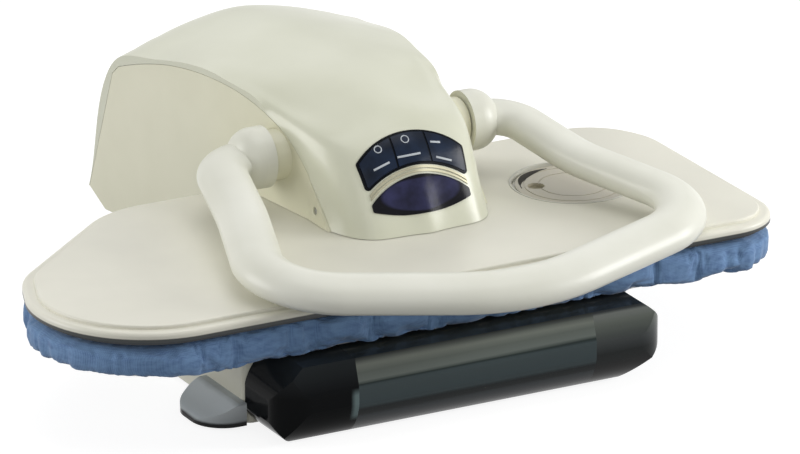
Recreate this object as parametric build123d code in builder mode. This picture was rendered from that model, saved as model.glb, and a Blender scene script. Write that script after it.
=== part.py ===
"""A steam press for laundry: padded board on a low base, heated shoe above it on a hinged arm.

X runs to the right, Y to the back and Z up. The origin is on the floor, under the middle plane
of the arm. Everything is in millimetres and drawn with the press shut and its handle down.
"""

import os
from math import cos, hypot, radians, sin

from build123d import *

os.makedirs("parts", exist_ok=True)

# Heights above the floor
floor_gap = 2.0
base_top = 64.0
rim_bottom = 97.0
rim_height = 9.0
rim_lip = 1.5
panel_rise = 3.0

# Shoe outline, seen from above
shoe_right = 272.0
shoe_front = -150.0
shoe_back = 124.0
knee_x = -325.0
knee_y = 16.0
taper_end_x = -199.0
nose_lean = 0.379
front_left_radius = 95.0
front_right_radius = 47.0
back_right_radius = 65.0
back_left_radius = 85.0
knee_radius = 65.0

# Walls and running gaps
shell_wall = 2.5
rim_wall = 2.2
cloth = 1.2
fit_gap = 0.3
shaft_gap = 0.05

# Hinge of the arm and pivot of the handle
hinge_y = 280.0
hinge_z = 58.0
hinge_pin_radius = 5.0
pivot_y = 62.0
pivot_z = 152.0
shaft_radius = 6.0

# Base
base_x = -22.0
base_half = 171.0
base_front = -106.0
base_back = 112.0
bar_front = -170.0
bar_top_half = 150.0
bar_mid_half = 171.0
bar_low_half_right = 134.0
bar_low_half_left = 158.0
bar_mid_z = 36.0
bar_corner = 26.0
window_half = 105.0
bar_rib = 2.0
bar_rib_places = [22.0, 44.0]
foot_block_out = 34.0
foot_block_front = -109.0
foot_block_back = -40.0
foot_block_top = 20.5
foot_block_lean = 24.0
foot_block_round = 28.0
rubber_radius = 8.0
rubber_stem = 2.5
rubber_places = [
    (0.0, 0.0), (-175.0, -88.0), (125.0, -88.0), (-175.0, 90.0), (125.0, 90.0), (-70.0, 290.0), (70.0, 290.0),
]
inlet_x = -140.0
inlet_z = 34.0
inlet_width = 27.0
inlet_height = 20.0
inlet_depth = 22.0
tail_half = 88.0
tail_back = 305.0
tail_top = 26.0
tail_low_top = 12.0
tail_step = 240.0
floor_plate = 2.5
base_floor_top = floor_gap + floor_plate
base_corner = 8.0
base_post_radius = 4.5
base_screw_depth = 9.0
base_screw_places = [(-120.0, -80.0), (70.0, -80.0), (-120.0, 85.0), (70.0, 85.0), (-50.0, 200.0), (50.0, 200.0)]
bar_low_front = -154.0
bar_top_front = -163.0
inlet_flange = 2.0
bracket_front = 246.0
bracket_back = 295.0
bracket_screw_places = [(-40.0, 253.0), (40.0, 253.0), (-40.0, 290.0), (40.0, 290.0)]
pin_half = 65.0
spring_turns = 9.25

# Head: the crest is the middle line of the hood, the shoulder its edge above the side cover
head_front_half = 71.5
head_rear_half = 107.0
flare_start = 20.0
flare_end = 300.0
head_foot = 12.5
crest = [
    (-58.0, 6.0), (-35.0, 44.0), (-10.0, 80.0), (26.0, 96.5), (75.0, 105.0), (135.0, 108.5),
    (195.0, 110.0), (250.0, 107.5), (294.0, 96.0), (321.0, 61.0), (333.0, 0.0), (339.0, -60.0),
]
shoulder = [
    (-18.0, 6.0), (9.0, 42.0), (38.0, 69.0), (69.0, 85.0), (108.0, 95.0), (148.0, 98.0),
    (198.0, 93.5), (248.0, 83.0), (292.0, 69.0), (309.0, 46.0), (323.0, -5.0), (338.0, -60.0),
]
front_stations = 3
top_power = 1.6
seam = [
    (-14.0, head_foot), (10.0, 39.0), (38.0, 66.0), (68.0, 81.0), (107.0, 90.5), (147.0, 93.0),
    (197.0, 89.5), (246.0, 79.0), (288.0, 65.0),
]
seam_rear_top = (297.0, 57.0)
seam_rear_bottom = (333.0, -51.0)
seam_low_back = (310.0, -65.0)
seam_low_front = (146.0, -61.0)
inner_wall_y = 131.0
seam_gap = 0.35
boss_radius = 20.5
boss_face = 88.5
boss_round = 3.0
side_screw_y = 8.5
side_screw_z = 120.0
side_screw_radius = 3.0

# Control panel, in the plane of the front face: across and up from its lower edge
face_slope = 57.0
face_foot_y = -54.5
arch_half = 47.5
arch_top = 85.0
arch_shoulder = 65.5
arch_low_half = 45.0
arch_low_top = 56.0
arch_low_end = 40.5
key_split = 15.0
key_names = ["key_left", "key_middle", "key_right"]
key_cells = [
    (-arch_half - 5, -key_split - 0.5), (-key_split + 0.5, key_split - 0.5), (key_split + 0.5, arch_half + 5),
]
key_travel = 1.0
badge_half = 43.5
badge_top = 48.0
badge_bottom = 17.0
badge_end = 28.0
badge_tip = 6.0
badge_corner = 2.5
arch_corner = 3.0
bezel_edge = 1.6
trim_width = 2.0
trim_drops = [1.2, 4.2]
panel_proud = 0.8
face_reach = 30.0

# Handle tube: centre line points of the right half as x, y, height above the rim's underside
tube_width = 41.0
tube_height = 28.0
tube_start = 89.0
handle_route = [
    (tube_start, pivot_y, pivot_z - rim_bottom), (131.0, pivot_y, pivot_z - rim_bottom), (150.0, -20.0, 39.0),
    (197.5, -153.0, 28.5),
]
handle_front = (0.0, -213.0, 14.0)
handle_radii = [30.0, 180.0, 58.0]
handle_front_radius = 190.0
knuckle_radius = 25.0
knuckle_end = 118.0
knuckle_round = 20.0
hub_radius = 12.0
hub_end = 115.0
cam_inner = 33.0
cam_width = 9.0
cam_radius = 13.0
cam_lobe = 8.0
cam_reach = 24.0
shaft_half = 112.0
pillar_length = 16.0

# Padded board
board_sheet = 1.5
board_inset = 13.0
board_top = 69.0
board_lip = 2.5
rail_height = board_top - board_sheet - base_top
pad_top = 94.2
hem_bottom = 65.3
pad_rows = [(hem_bottom, 10.0), (70.0, 3.0), (80.0, 0.5), (90.0, 1.5), (pad_top, 6.0)]
hem_reach = 26.0
rail_width = 24.0
rail_y = 52.0
rail_half = 125.0

# Heated shoe
sole_bottom = 94.5
sole_thickness = 5.0
sole_top = sole_bottom + sole_thickness
sole_inset = 6.0
panel_inset = 9.0
rim_round = 3.5
panel_round = 1.5
element_radius = 3.25
element_inset = 22.0
element_gap = 15.0
element_pin_radius = 1.6
element_pin_top = 116.0
mat_thickness = 1.8
mat_inset = 13.0
boss_post_radius = 4.0
stud_radius = 1.7
steam_hole_radius = 1.5
steam_pitch_x = 34.0
steam_pitch_y = 36.0
neck_half = 64.0
neck_front = -12.0
neck_back = 106.0

stud_length = 5.0
thread_depth = 3.5
frame_screw_places = [(-50.0, 12.0), (50.0, 12.0), (-50.0, 52.0), (50.0, 52.0)]
steam_places = [
    (column * steam_pitch_x, row * steam_pitch_y)
    for column in range(-7, 8)
    for row in range(-3, 3)
    if column * steam_pitch_x > row * steam_pitch_y - 240
]
post_places = [(-110.0, -70.0), (-110.0, 70.0), (-250.0, -70.0), (-230.0, 25.0), (80.0, -100.0), (80.0, 35.0)]

# Arm frame of folded steel
frame_sheet = 3.0
frame_half = 61.5
frame_foot_width = 18.0
frame_foot_back = 64.0
frame_top = 172.0
frame_over_cover = 111.0
eye_radius = 15.0
web_front = 50.0
web_back = 200.0
bracket_sheet = 3.0
bracket_face = 55.0
bracket_eye = 12.0
bush_wall = 2.0
bush_flange = 1.5
spring_inner = 8.0
spring_outer = 47.0
spring_radius = 8.6
spring_wire = 1.5
rod_radius = 3.0
rod_y = 300.0
spring_leg = 26.0
screw_radius = 2.0
screw_head = 4.0
screw_head_height = 2.4
screw_spacer = 5.0
inner_floor_back = 235.0

# Circuit board and rubber mat behind the keys
circuit_depth = 18.0
circuit_low = 42.0
circuit_high = 78.0
circuit_half = 52.0
circuit_sheet = 1.6
mat_base = 1.6
dome_height = 2.0
dome_radius = 4.5
stem_radius = 3.0
key_press_gap = 0.3
bezel_flange = 4.0
circuit_post_radius = 2.4
circuit_posts = [(-48.3, 47.0), (48.3, 47.0), (-49.3, 60.0), (49.3, 60.0)]
key_centres = [(-31.0, 62.0), (0.0, 70.0), (31.0, 62.0)]

# Water tank in the shoe and what it feeds
tank_left = 95.0
tank_right = 243.0
tank_front = -108.0
tank_back = 70.0
tank_wall = 1.2
tank_lift = 0.8
mouth_radius = 40.0

# Round lid of the water tank
lid_x = 156.0
lid_y = -2.0
lid_radius = 46.5
recess_radius = 51.5
ring_wall = 1.6
seal_radius = 42.0
seal_width = 2.0
seal_height = 0.5
tank_top = 105.2
lid_bottom = tank_top + seal_height + fit_gap
lid_sheet = 1.3
plug_wall = 1.2
lid_ring_radii = [28.0, 40.0]
lid_groove = 0.5
plug_depth_down = 2.4
spout_length = 6.0
spout_radius = 2.0
spout_y = 62.0
spout_z = 102.4
hose_radius = 2.5
hose_wall = 0.8
hose_bend = 7.0
pump_y = 178.0
pump_width = 34.0
pump_length = 56.0
pump_foot = 4.0
pump_radius = 16.0
pump_port_x = 7.0
port_radius = 2.5
steam_block_y = 44.0
steam_block_top = 112.0
well_radius = 7.0
well_offset = 30.0
well_angle = 160.0
well_depth = 3.0


def up_face(across, up, out=0.0):
    """Point on the sloping front: across, up the slope and out from it."""
    slope = radians(face_slope)
    return (
        across,
        face_foot_y + up * cos(slope) - out * sin(slope),
        rim_bottom + head_foot + up * sin(slope) + out * cos(slope),
    )


face_plane = Plane(
    origin=up_face(0, 0),
    x_dir=(1, 0, 0),
    z_dir=(0, -sin(radians(face_slope)), cos(radians(face_slope))),
)


def shoe_sketch(height, inset=0.0):
    """Outline of the shoe at a height, drawn in by an inset."""
    nose_front_x = knee_x - (knee_y - shoe_front) * nose_lean
    corners = [
        (nose_front_x, shoe_front),
        (shoe_right, shoe_front),
        (shoe_right, shoe_back),
        (taper_end_x, shoe_back),
        (knee_x, knee_y),
    ]
    radii = [
        front_left_radius,
        front_right_radius,
        back_right_radius,
        back_left_radius,
        knee_radius,
    ]
    with BuildSketch(Plane.XY.offset(height)) as outline:
        with BuildLine():
            FilletPolyline(*corners, radius=radii, close=True)
        make_face()
        if inset:
            offset(amount=-inset)
    return outline.sketch


def head_half(y):
    """Half width of the head at a depth."""
    share = (y - flare_start) / (flare_end - flare_start)
    return head_front_half + (head_rear_half - head_front_half) * max(0.0, share)


def moved_in(points, inset):
    """Points of a run drawn to the right of its direction by an inset."""
    moved = []
    last = len(points) - 1
    for i, (y, z) in enumerate(points):
        before = points[max(i - 1, 0)]
        after = points[min(i + 1, last)]
        run_y = after[0] - before[0]
        run_z = after[1] - before[1]
        length = hypot(run_y, run_z)
        moved.append((y + inset * run_z / length, z - inset * run_y / length))
    return moved


def head_line(x, inset):
    """Points of the hood's surface in the upright plane at x, drawn in by an inset."""
    points = []
    for station, ((crest_y, crest_h), (edge_y, edge_h)) in enumerate(zip(crest, shoulder)):
        ratio = min(abs(x) / head_half(edge_y), 1.1)
        if station < front_stations:
            blend = 0.45 * ratio**2 + 0.55 * ratio**12
        else:
            blend = ratio**top_power
        points.append(
            (
                crest_y + (edge_y - crest_y) * blend,
                rim_bottom + crest_h + (edge_h - crest_h) * blend,
            )
        )
    return moved_in(points, inset)


def head_block(inset):
    """Solid under the hood's surface, wider than the head."""
    reach = head_rear_half + 6
    shares = [-1.0, -0.8, -0.66, -0.5, -0.25, 0.0, 0.25, 0.5, 0.66, 0.8, 1.0]
    with BuildPart() as block:
        for share in shares:
            points = head_line(share * reach, inset)
            with BuildSketch(Plane.YZ.offset(share * reach)):
                with BuildLine():
                    Spline(*points)
                    Polyline(points[-1], (points[-1][0], 20), (points[0][0], 20), points[0])
                make_face()
        loft()
    return block.part


def head_prism(inset):
    """Upright block with the head's plan, drawn in at the sides."""
    front = head_front_half - inset
    rear = head_half(shoe_back * 3) - inset
    with BuildPart() as prism:
        with BuildSketch(Plane.XY.offset(10)):
            with BuildLine():
                Polyline(
                    (-front, -90), (front, -90), (front, flare_start), (rear, shoe_back * 3),
                    (-rear, shoe_back * 3), (-front, flare_start), (-front, -90),
                )
            make_face()
        extrude(amount=240)
    return prism.part


def seam_sketch(inset):
    """Side view of the side cover, its seam with the hood drawn in by an inset."""
    top = moved_in([(y, rim_bottom + h) for y, h in seam], inset)
    low = [
        (seam_rear_top[0] - inset, rim_bottom + seam_rear_top[1] - inset),
        (seam_rear_bottom[0] - inset, rim_bottom + seam_rear_bottom[1]),
        (seam_low_back[0], rim_bottom + seam_low_back[1]),
        (seam_low_front[0], rim_bottom + seam_low_front[1]),
        (inner_wall_y, rim_bottom - 50),
        (inner_wall_y, rim_bottom + head_foot),
    ]
    with BuildSketch(Plane.YZ) as outline:
        with BuildLine():
            Spline(*top)
            Polyline(top[-1], *low, top[0])
        make_face()
    return outline.sketch


def under_head():
    """Space below the head that stays free for the shoe, the board and the floor."""
    with BuildPart() as space:
        with BuildSketch(Plane.YZ.offset(-150)):
            with BuildLine():
                Polyline(
                    (-120, 0), (-120, rim_bottom + head_foot), (inner_wall_y, rim_bottom + head_foot),
                    (inner_wall_y, rim_bottom - 50),
                    (seam_low_front[0], rim_bottom + seam_low_front[1]),
                    (seam_low_back[0], rim_bottom + seam_low_back[1]),
                    (seam_rear_bottom[0], rim_bottom + seam_rear_bottom[1]),
                    (360, rim_bottom + seam_rear_bottom[1]), (360, 0), (-120, 0),
                )
            make_face()
        extrude(amount=300)
    return space.part


def arch_sketch(inset=0.0):
    """Arched band of the three keys, in the front's own plane."""
    with BuildSketch() as arch:
        with BuildLine():
            ThreePointArc((-arch_half, arch_shoulder), (0, arch_top), (arch_half, arch_shoulder))
            Line((arch_half, arch_shoulder), (arch_low_half, arch_low_end))
            ThreePointArc((arch_low_half, arch_low_end), (0, arch_low_top), (-arch_low_half, arch_low_end))
            Line((-arch_low_half, arch_low_end), (-arch_half, arch_shoulder))
        make_face()
        fillet(arch.vertices(), radius=arch_corner)
        if inset:
            offset(amount=-inset)
    return arch.sketch


def key_sketch(low, high, inset):
    """One key's cell of the arch, between two places across it."""
    with BuildSketch() as cell:
        add(arch_sketch(bezel_edge + inset))
        with Locations(((low + high) / 2, arch_top / 2)):
            Rectangle(high - low - 2 * inset, arch_top * 2, mode=Mode.INTERSECT)
    return cell.sketch


def badge_sketch():
    """Leaf shape of the badge."""
    tip_top = badge_end + badge_tip / 2
    tip_low = badge_end - badge_tip / 2
    with BuildSketch() as leaf:
        with BuildLine():
            ThreePointArc((-badge_half, tip_top), (0, badge_top), (badge_half, tip_top))
            Line((badge_half, tip_top), (badge_half, tip_low))
            ThreePointArc((badge_half, tip_low), (0, badge_bottom), (-badge_half, tip_low))
            Line((-badge_half, tip_low), (-badge_half, tip_top))
        make_face()
        fillet(leaf.vertices(), radius=badge_corner)
    return leaf.sketch


def trim_sketch(drop):
    """Thin arc that follows the lower edge of the keys at a distance below it."""
    end = arch_low_half - 2
    high = arch_low_end - drop
    low = high - trim_width
    rise = arch_low_top - arch_low_end
    with BuildSketch() as arc:
        with BuildLine():
            ThreePointArc((-end, high), (0, high + rise), (end, high))
            Line((end, high), (end, low))
            ThreePointArc((end, low), (0, low + rise), (-end, low))
            Line((-end, low), (-end, high))
        make_face()
    return arc.sketch


def through_face(sketch):
    """Prism square to the front, through its skin."""
    return extrude(face_plane * sketch, amount=face_reach, both=True)


# Head skins used by the hood, the covers and the panel
outer_skin = head_block(0)
inner_skin = head_block(shell_wall)
outer_prism = head_prism(0)
inner_prism = head_prism(shell_wall)
low_space = under_head()


def save(name, builder):
    """Labels a finished piece and writes it."""
    builder.part.label = name
    export_step(builder.part, f"parts/{name}.step")


# Side cover of the right, with the round boss that carries the handle's shaft
side_outside = extrude(seam_sketch(0), amount=head_rear_half + 20, both=True) - inner_prism
with BuildPart() as boss:
    with BuildSketch(Plane.YZ.offset(head_front_half)):
        with Locations((pivot_y, pivot_z)):
            Circle(boss_radius)
    extrude(amount=boss_face - head_front_half)
    fillet(boss.faces().sort_by(Axis.X)[-1].edges(), radius=boss_round)

with BuildPart() as side_cover_right:
    extrude(seam_sketch(seam_gap), amount=head_rear_half + 20)
    add(outer_prism, mode=Mode.INTERSECT)
    add(boss.part)
    add(inner_prism, mode=Mode.SUBTRACT)
    with BuildSketch(Plane.YZ):
        with Locations((pivot_y, pivot_z)):
            Circle(shaft_radius + fit_gap)
        with Locations((side_screw_y, side_screw_z)):
            Circle(side_screw_radius + fit_gap)
    extrude(amount=boss_face + 5, mode=Mode.SUBTRACT)
save("side_cover_right", side_cover_right)

with BuildPart() as side_cover_left:
    mirror(side_cover_right.part, about=Plane.YZ)
save("side_cover_left", side_cover_left)

# Hood: one skin over the top, the front and the back of the head
with BuildPart() as hood:
    add(outer_skin)
    add(outer_prism, mode=Mode.INTERSECT)
    add(inner_skin & inner_prism, mode=Mode.SUBTRACT)
    add(low_space, mode=Mode.SUBTRACT)
    add(side_outside, mode=Mode.SUBTRACT)
    add(through_face(arch_sketch(-fit_gap)), mode=Mode.SUBTRACT)
save("hood", hood)

# Keys, bezel, badge and trim on the sloping front, all following its curve
proud_skin = head_block(-panel_proud)
key_skin = head_block(-panel_proud - 0.4)
key_back_skin = head_block(shell_wall - 0.5)
flange_back_skin = head_block(shell_wall + 1.3)

with BuildPart() as bezel_flange_ring:
    add(through_face(arch_sketch(-bezel_flange)))
    add(head_block(shell_wall + 0.1), mode=Mode.INTERSECT)
    add(flange_back_skin, mode=Mode.SUBTRACT)

with BuildPart() as circuit_pegs:
    with BuildSketch(face_plane.offset(-circuit_depth)):
        with Locations(*circuit_posts):
            Circle(circuit_post_radius)
    extrude(amount=circuit_depth + 10)
    add(head_block(shell_wall + 0.1), mode=Mode.INTERSECT)

with BuildPart() as panel_bezel:
    add(through_face(arch_sketch()))
    add(proud_skin, mode=Mode.INTERSECT)
    add(flange_back_skin, mode=Mode.SUBTRACT)
    add(bezel_flange_ring.part)
    add(circuit_pegs.part)
    for low, high in key_cells:
        add(through_face(key_sketch(low, high, 0.0)), mode=Mode.SUBTRACT)
save("panel_bezel", panel_bezel)

stem_start = -circuit_depth + mat_base + dome_height + key_travel + key_press_gap
for key_name, (low, high), centre in zip(key_names, key_cells, key_centres):
    with BuildPart() as key:
        add(through_face(key_sketch(low, high, fit_gap)))
        add(key_skin, mode=Mode.INTERSECT)
        add(key_back_skin, mode=Mode.SUBTRACT)
        with BuildSketch(face_plane.offset(stem_start)):
            with Locations(centre):
                Circle(stem_radius)
        extrude(until=Until.NEXT)
    save(key_name, key)

with BuildPart() as circuit_board:
    with BuildSketch(face_plane.offset(-circuit_depth - circuit_sheet)):
        with Locations((0, (circuit_low + circuit_high) / 2)):
            Rectangle(circuit_half * 2, circuit_high - circuit_low)
    extrude(amount=circuit_sheet)
save("circuit_board", circuit_board)

with BuildPart() as key_mat:
    with BuildSketch(face_plane.offset(-circuit_depth)):
        with Locations((0, (circuit_low + circuit_high) / 2)):
            RectangleRounded(circuit_half * 2 - 16, circuit_high - circuit_low - 4, 3)
    extrude(amount=mat_base)
    with BuildSketch(face_plane.offset(-circuit_depth + mat_base)):
        with Locations(*key_centres):
            Circle(dome_radius)
    extrude(amount=dome_height, taper=20)
save("key_mat", key_mat)

with BuildPart() as badge:
    add(through_face(badge_sketch()))
    add(proud_skin, mode=Mode.INTERSECT)
    add(outer_skin, mode=Mode.SUBTRACT)
save("badge", badge)

with BuildPart() as trim_arcs:
    for drop in trim_drops:
        add(through_face(trim_sketch(drop)))
    add(proud_skin, mode=Mode.INTERSECT)
    add(outer_skin, mode=Mode.SUBTRACT)
save("trim_arcs", trim_arcs)

# Handle: one hollow oval tube from knuckle to knuckle
def handle_points():
    """Corners of the tube's middle line, from the left knuckle round the front to the right one."""
    right = [(x, y, rim_bottom + h) for x, y, h in handle_route]
    left = [(-x, y, z) for x, y, z in right]
    front = (handle_front[0], handle_front[1], rim_bottom + handle_front[2])
    return left + [front] + right[::-1]


def tube_sketch(plane, wall=0.0):
    """Oval cross-section of the tube, drawn in by a wall."""
    with BuildSketch(plane) as oval:
        Ellipse(tube_width / 2 - wall, tube_height / 2 - wall)
    return oval.sketch


points = handle_points()
bends = handle_radii + [handle_front_radius] + handle_radii[::-1]
with BuildLine() as handle_line:
    FilletPolyline(*points, radius=bends)
start = handle_line.line @ 0
run = handle_line.line % 0
start_plane = Plane(origin=start, x_dir=Vector(0, 0, 1).cross(run), z_dir=run)

with BuildPart() as tube_inside:
    sweep(sections=tube_sketch(start_plane, shell_wall), path=handle_line.wires()[0])

with BuildPart() as knuckle:
    with BuildSketch(Plane.YZ.offset(tube_start)):
        with Locations((pivot_y, pivot_z)):
            Circle(knuckle_radius)
    extrude(amount=knuckle_end - tube_start)
    fillet(knuckle.faces().sort_by(Axis.X)[-1].edges(), radius=knuckle_round)

with BuildPart() as hub:
    with BuildSketch(Plane.YZ.offset(tube_start)):
        with Locations((pivot_y, pivot_z)):
            Circle(hub_radius)
    extrude(amount=hub_end - tube_start)

with BuildPart() as handle_bow:
    sweep(sections=tube_sketch(start_plane), path=handle_line.wires()[0])
    add(knuckle.part)
    mirror(knuckle.part, about=Plane.YZ)
    add(tube_inside.part, mode=Mode.SUBTRACT)
    add(hub.part)
    mirror(hub.part, about=Plane.YZ)
    with BuildSketch(Plane.YZ.offset(-shaft_half)):
        with Locations((pivot_y, pivot_z)):
            Circle(shaft_radius)
    extrude(amount=2 * shaft_half, mode=Mode.SUBTRACT)
save("handle_bow", handle_bow)

# Shaft with its two cams, which press the shoe down
with BuildPart() as handle_shaft:
    with BuildSketch(Plane.YZ.offset(-shaft_half)):
        with Locations((pivot_y, pivot_z)):
            Circle(shaft_radius)
    extrude(amount=2 * shaft_half)
save("handle_shaft", handle_shaft)

with BuildPart() as cams:
    with BuildSketch(Plane.YZ.offset(cam_inner)):
        with Locations((pivot_y, pivot_z)):
            Circle(cam_radius)
        with Locations((pivot_y, pivot_z - cam_reach + cam_lobe)):
            Circle(cam_lobe)
        make_hull()
        with Locations((pivot_y, pivot_z)):
            Circle(shaft_radius, mode=Mode.SUBTRACT)
    extrude(amount=cam_width)
    mirror(about=Plane.YZ)
save("handle_cams", cams)

# Pillars under the cams, on the heated plate
with BuildPart() as pillars:
    with BuildSketch(Plane.XY.offset(sole_top)):
        with Locations((cam_inner + cam_width / 2, pivot_y), (-cam_inner - cam_width / 2, pivot_y)):
            RectangleRounded(cam_width, pillar_length, 1.5)
    extrude(amount=pivot_z - cam_reach - fit_gap - sole_top)
save("press_pillars", pillars)


# Base: body, floor, feet and mains inlet
def base_plan(height, inset):
    """Plan of the base body with its low tail."""
    with BuildSketch(Plane.XY.offset(height)) as plan:
        with Locations((base_x, (base_front + base_back) / 2)):
            RectangleRounded(2 * (base_half - inset), base_back - base_front - 2 * inset, base_corner - inset)
    return plan.sketch


def tail_block(inset):
    """Low tail of the base, which carries the hinge."""
    with BuildPart() as tail:
        with BuildSketch(Plane.YZ.offset(-tail_half + inset)):
            with BuildLine():
                Polyline(
                    (base_back - 20, base_floor_top), (tail_back - inset, base_floor_top),
                    (tail_back - inset, tail_low_top - inset), (tail_step - inset, tail_low_top - inset),
                    (tail_step - inset, tail_top - inset), (base_back - 20, tail_top - inset),
                    (base_back - 20, base_floor_top),
                )
            make_face()
        extrude(amount=2 * (tail_half - inset))
    return tail.part


with BuildPart() as base_shell:
    extrude(base_plan(base_floor_top, 0), amount=base_top - base_floor_top)
    fillet(base_shell.faces().sort_by(Axis.Z)[-1].edges(), radius=2)
    add(tail_block(0))
    extrude(base_plan(base_floor_top, shell_wall), amount=base_top - shell_wall - base_floor_top, mode=Mode.SUBTRACT)
    add(tail_block(shell_wall), mode=Mode.SUBTRACT)
    with BuildSketch(Plane.XY.offset(base_floor_top)):
        with Locations(*base_screw_places):
            Circle(base_post_radius)
    extrude(until=Until.NEXT)
    with BuildSketch(Plane.XY.offset(base_floor_top)):
        with Locations(*base_screw_places):
            Circle(screw_radius)
    extrude(amount=base_screw_depth, mode=Mode.SUBTRACT)
    with BuildSketch(Plane.XZ.offset(-base_back - 1)):
        with Locations((inlet_x, inlet_z)):
            Rectangle(inlet_width, inlet_height)
    extrude(amount=shell_wall + 2, mode=Mode.SUBTRACT)
save("base_shell", base_shell)

with BuildPart() as base_floor:
    extrude(base_plan(floor_gap, 0), amount=floor_plate)
    with BuildSketch(Plane.XY.offset(floor_gap)):
        with Locations((0, (base_back - 20 + tail_back) / 2)):
            Rectangle(2 * tail_half, tail_back - base_back + 20)
    extrude(amount=floor_plate)
    with BuildSketch(Plane.XY.offset(floor_gap)):
        with Locations(*rubber_places):
            Circle(rubber_stem)
        with Locations(*base_screw_places):
            Circle(screw_radius)
    extrude(amount=floor_plate, mode=Mode.SUBTRACT)
    with BuildSketch(Plane.XY.offset(floor_gap)):
        with Locations(*base_screw_places):
            Circle(screw_head)
    extrude(amount=floor_plate / 2, mode=Mode.SUBTRACT)
save("base_floor", base_floor)

with BuildPart() as base_screws:
    with BuildSketch(Plane.XY.offset(floor_gap)):
        with Locations(*base_screw_places):
            Circle(screw_head)
    extrude(amount=floor_plate / 2)
    with BuildSketch(Plane.XY.offset(floor_gap)):
        with Locations(*base_screw_places):
            Circle(screw_radius)
    extrude(amount=floor_plate + base_screw_depth - 1)
save("base_screws", base_screws)

with BuildPart() as rubber_feet:
    with BuildSketch():
        with Locations(*rubber_places):
            Circle(rubber_radius)
    extrude(amount=floor_gap)
    fillet(rubber_feet.faces().sort_by(Axis.Z)[0:len(rubber_places)].edges(), radius=0.6)
    with BuildSketch(Plane.XY.offset(floor_gap)):
        with Locations(*rubber_places):
            Circle(rubber_stem)
    extrude(amount=floor_plate + 1)
save("rubber_feet", rubber_feet)

with BuildPart() as power_inlet:
    with BuildSketch(Plane.XZ.offset(-base_back - inlet_flange)):
        with Locations((inlet_x, inlet_z)):
            RectangleRounded(inlet_width + 8, inlet_height + 8, 3)
    extrude(amount=inlet_flange)
    with BuildSketch(Plane.XZ.offset(-base_back)):
        with Locations((inlet_x, inlet_z)):
            Rectangle(inlet_width, inlet_height)
    extrude(amount=inlet_depth)
    with BuildSketch(Plane.XZ.offset(-base_back - inlet_flange)):
        with Locations((inlet_x, inlet_z)):
            Rectangle(inlet_width - 4, inlet_height - 4)
    extrude(amount=inlet_depth - 2, mode=Mode.SUBTRACT)
    with BuildSketch(Plane.XZ.offset(-base_back + inlet_depth - 1)):
        with Locations((inlet_x - 7, inlet_z - 1.5), (inlet_x, inlet_z + 2), (inlet_x + 7, inlet_z - 1.5)):
            Rectangle(2, 4)
    extrude(amount=-inlet_depth + 6)
save("power_inlet", power_inlet)


# Smoked front of the base: a bowed bar in three lengths, and two low side lobes
def bar_block(inset):
    """Bowed bar along the front, drawn in by an inset."""
    with BuildPart() as bar:
        with BuildSketch(Plane.XZ.offset(-base_front)):
            with BuildLine():
                Spline(
                    (base_x + bar_low_half_right - inset, floor_gap + inset),
                    (base_x + bar_mid_half - inset, bar_mid_z),
                    (base_x + bar_top_half - inset, base_top - inset),
                    tangents=((1, 0.8), (-1, 0.7)),
                )
                Line((base_x + bar_top_half - inset, base_top - inset), (base_x - bar_top_half + inset, base_top - inset))
                Spline(
                    (base_x - bar_top_half + inset, base_top - inset),
                    (base_x - bar_mid_half + inset, bar_mid_z),
                    (base_x - bar_low_half_left + inset, floor_gap + inset),
                    tangents=((-1, -0.7), (1, -0.5)),
                )
                Line(
                    (base_x - bar_low_half_left + inset, floor_gap + inset),
                    (base_x + bar_low_half_right - inset, floor_gap + inset),
                )
            make_face()
        extrude(amount=base_front - bar_front + 5)
        with BuildSketch(Plane.YZ.offset(base_x - bar_mid_half - 5)):
            with BuildLine():
                Line((base_front, floor_gap + inset), (bar_low_front + inset, floor_gap + inset))
                Spline(
                    (bar_low_front + inset, floor_gap + inset), (bar_front + inset, bar_mid_z + 4),
                    (bar_top_front + inset, base_top - inset),
                    tangents=((-1, 0.7), (0.25, 1)),
                )
                Polyline((bar_top_front + inset, base_top - inset), (base_front, base_top - inset), (base_front, floor_gap + inset))
            make_face()
        extrude(amount=2 * bar_mid_half + 10, mode=Mode.INTERSECT)
        with BuildSketch():
            with Locations((base_x, base_front)):
                RectangleRounded(2 * (bar_mid_half - inset), 2 * (base_front - bar_front - inset), bar_corner - inset)
        extrude(amount=base_top + 10, mode=Mode.INTERSECT)
    return bar.part


bar_outer = bar_block(0)
bar_inner = bar_block(shell_wall)


def bar_length(low, high):
    """Box that keeps one length of the bar."""
    with BuildPart() as length:
        with BuildSketch(Plane.YZ.offset(low)):
            with Locations(((base_front + bar_front) / 2, base_top / 2)):
                Rectangle(base_front - bar_front + 10, base_top + 10)
        extrude(amount=high - low)
    return length.part


bar_reach = bar_mid_half + 5
with BuildPart() as base_window:
    add(bar_outer)
    add(bar_inner, mode=Mode.SUBTRACT)
    add(bar_length(base_x - window_half, base_x + window_half), mode=Mode.INTERSECT)
save("base_window", base_window)

with BuildPart() as base_end_right:
    add(bar_outer)
    add(bar_inner, mode=Mode.SUBTRACT)
    for place in bar_rib_places:
        add(bar_outer & bar_length(base_x + window_half + place, base_x + window_half + place + bar_rib))
    add(bar_length(base_x + window_half, base_x + bar_reach), mode=Mode.INTERSECT)
save("base_end_right", base_end_right)

with BuildPart() as base_end_left:
    add(bar_outer)
    add(bar_inner, mode=Mode.SUBTRACT)
    for place in bar_rib_places:
        add(bar_outer & bar_length(base_x - window_half - place - bar_rib, base_x - window_half - place))
    add(bar_length(base_x - bar_reach, base_x - window_half), mode=Mode.INTERSECT)
save("base_end_left", base_end_left)


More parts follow.
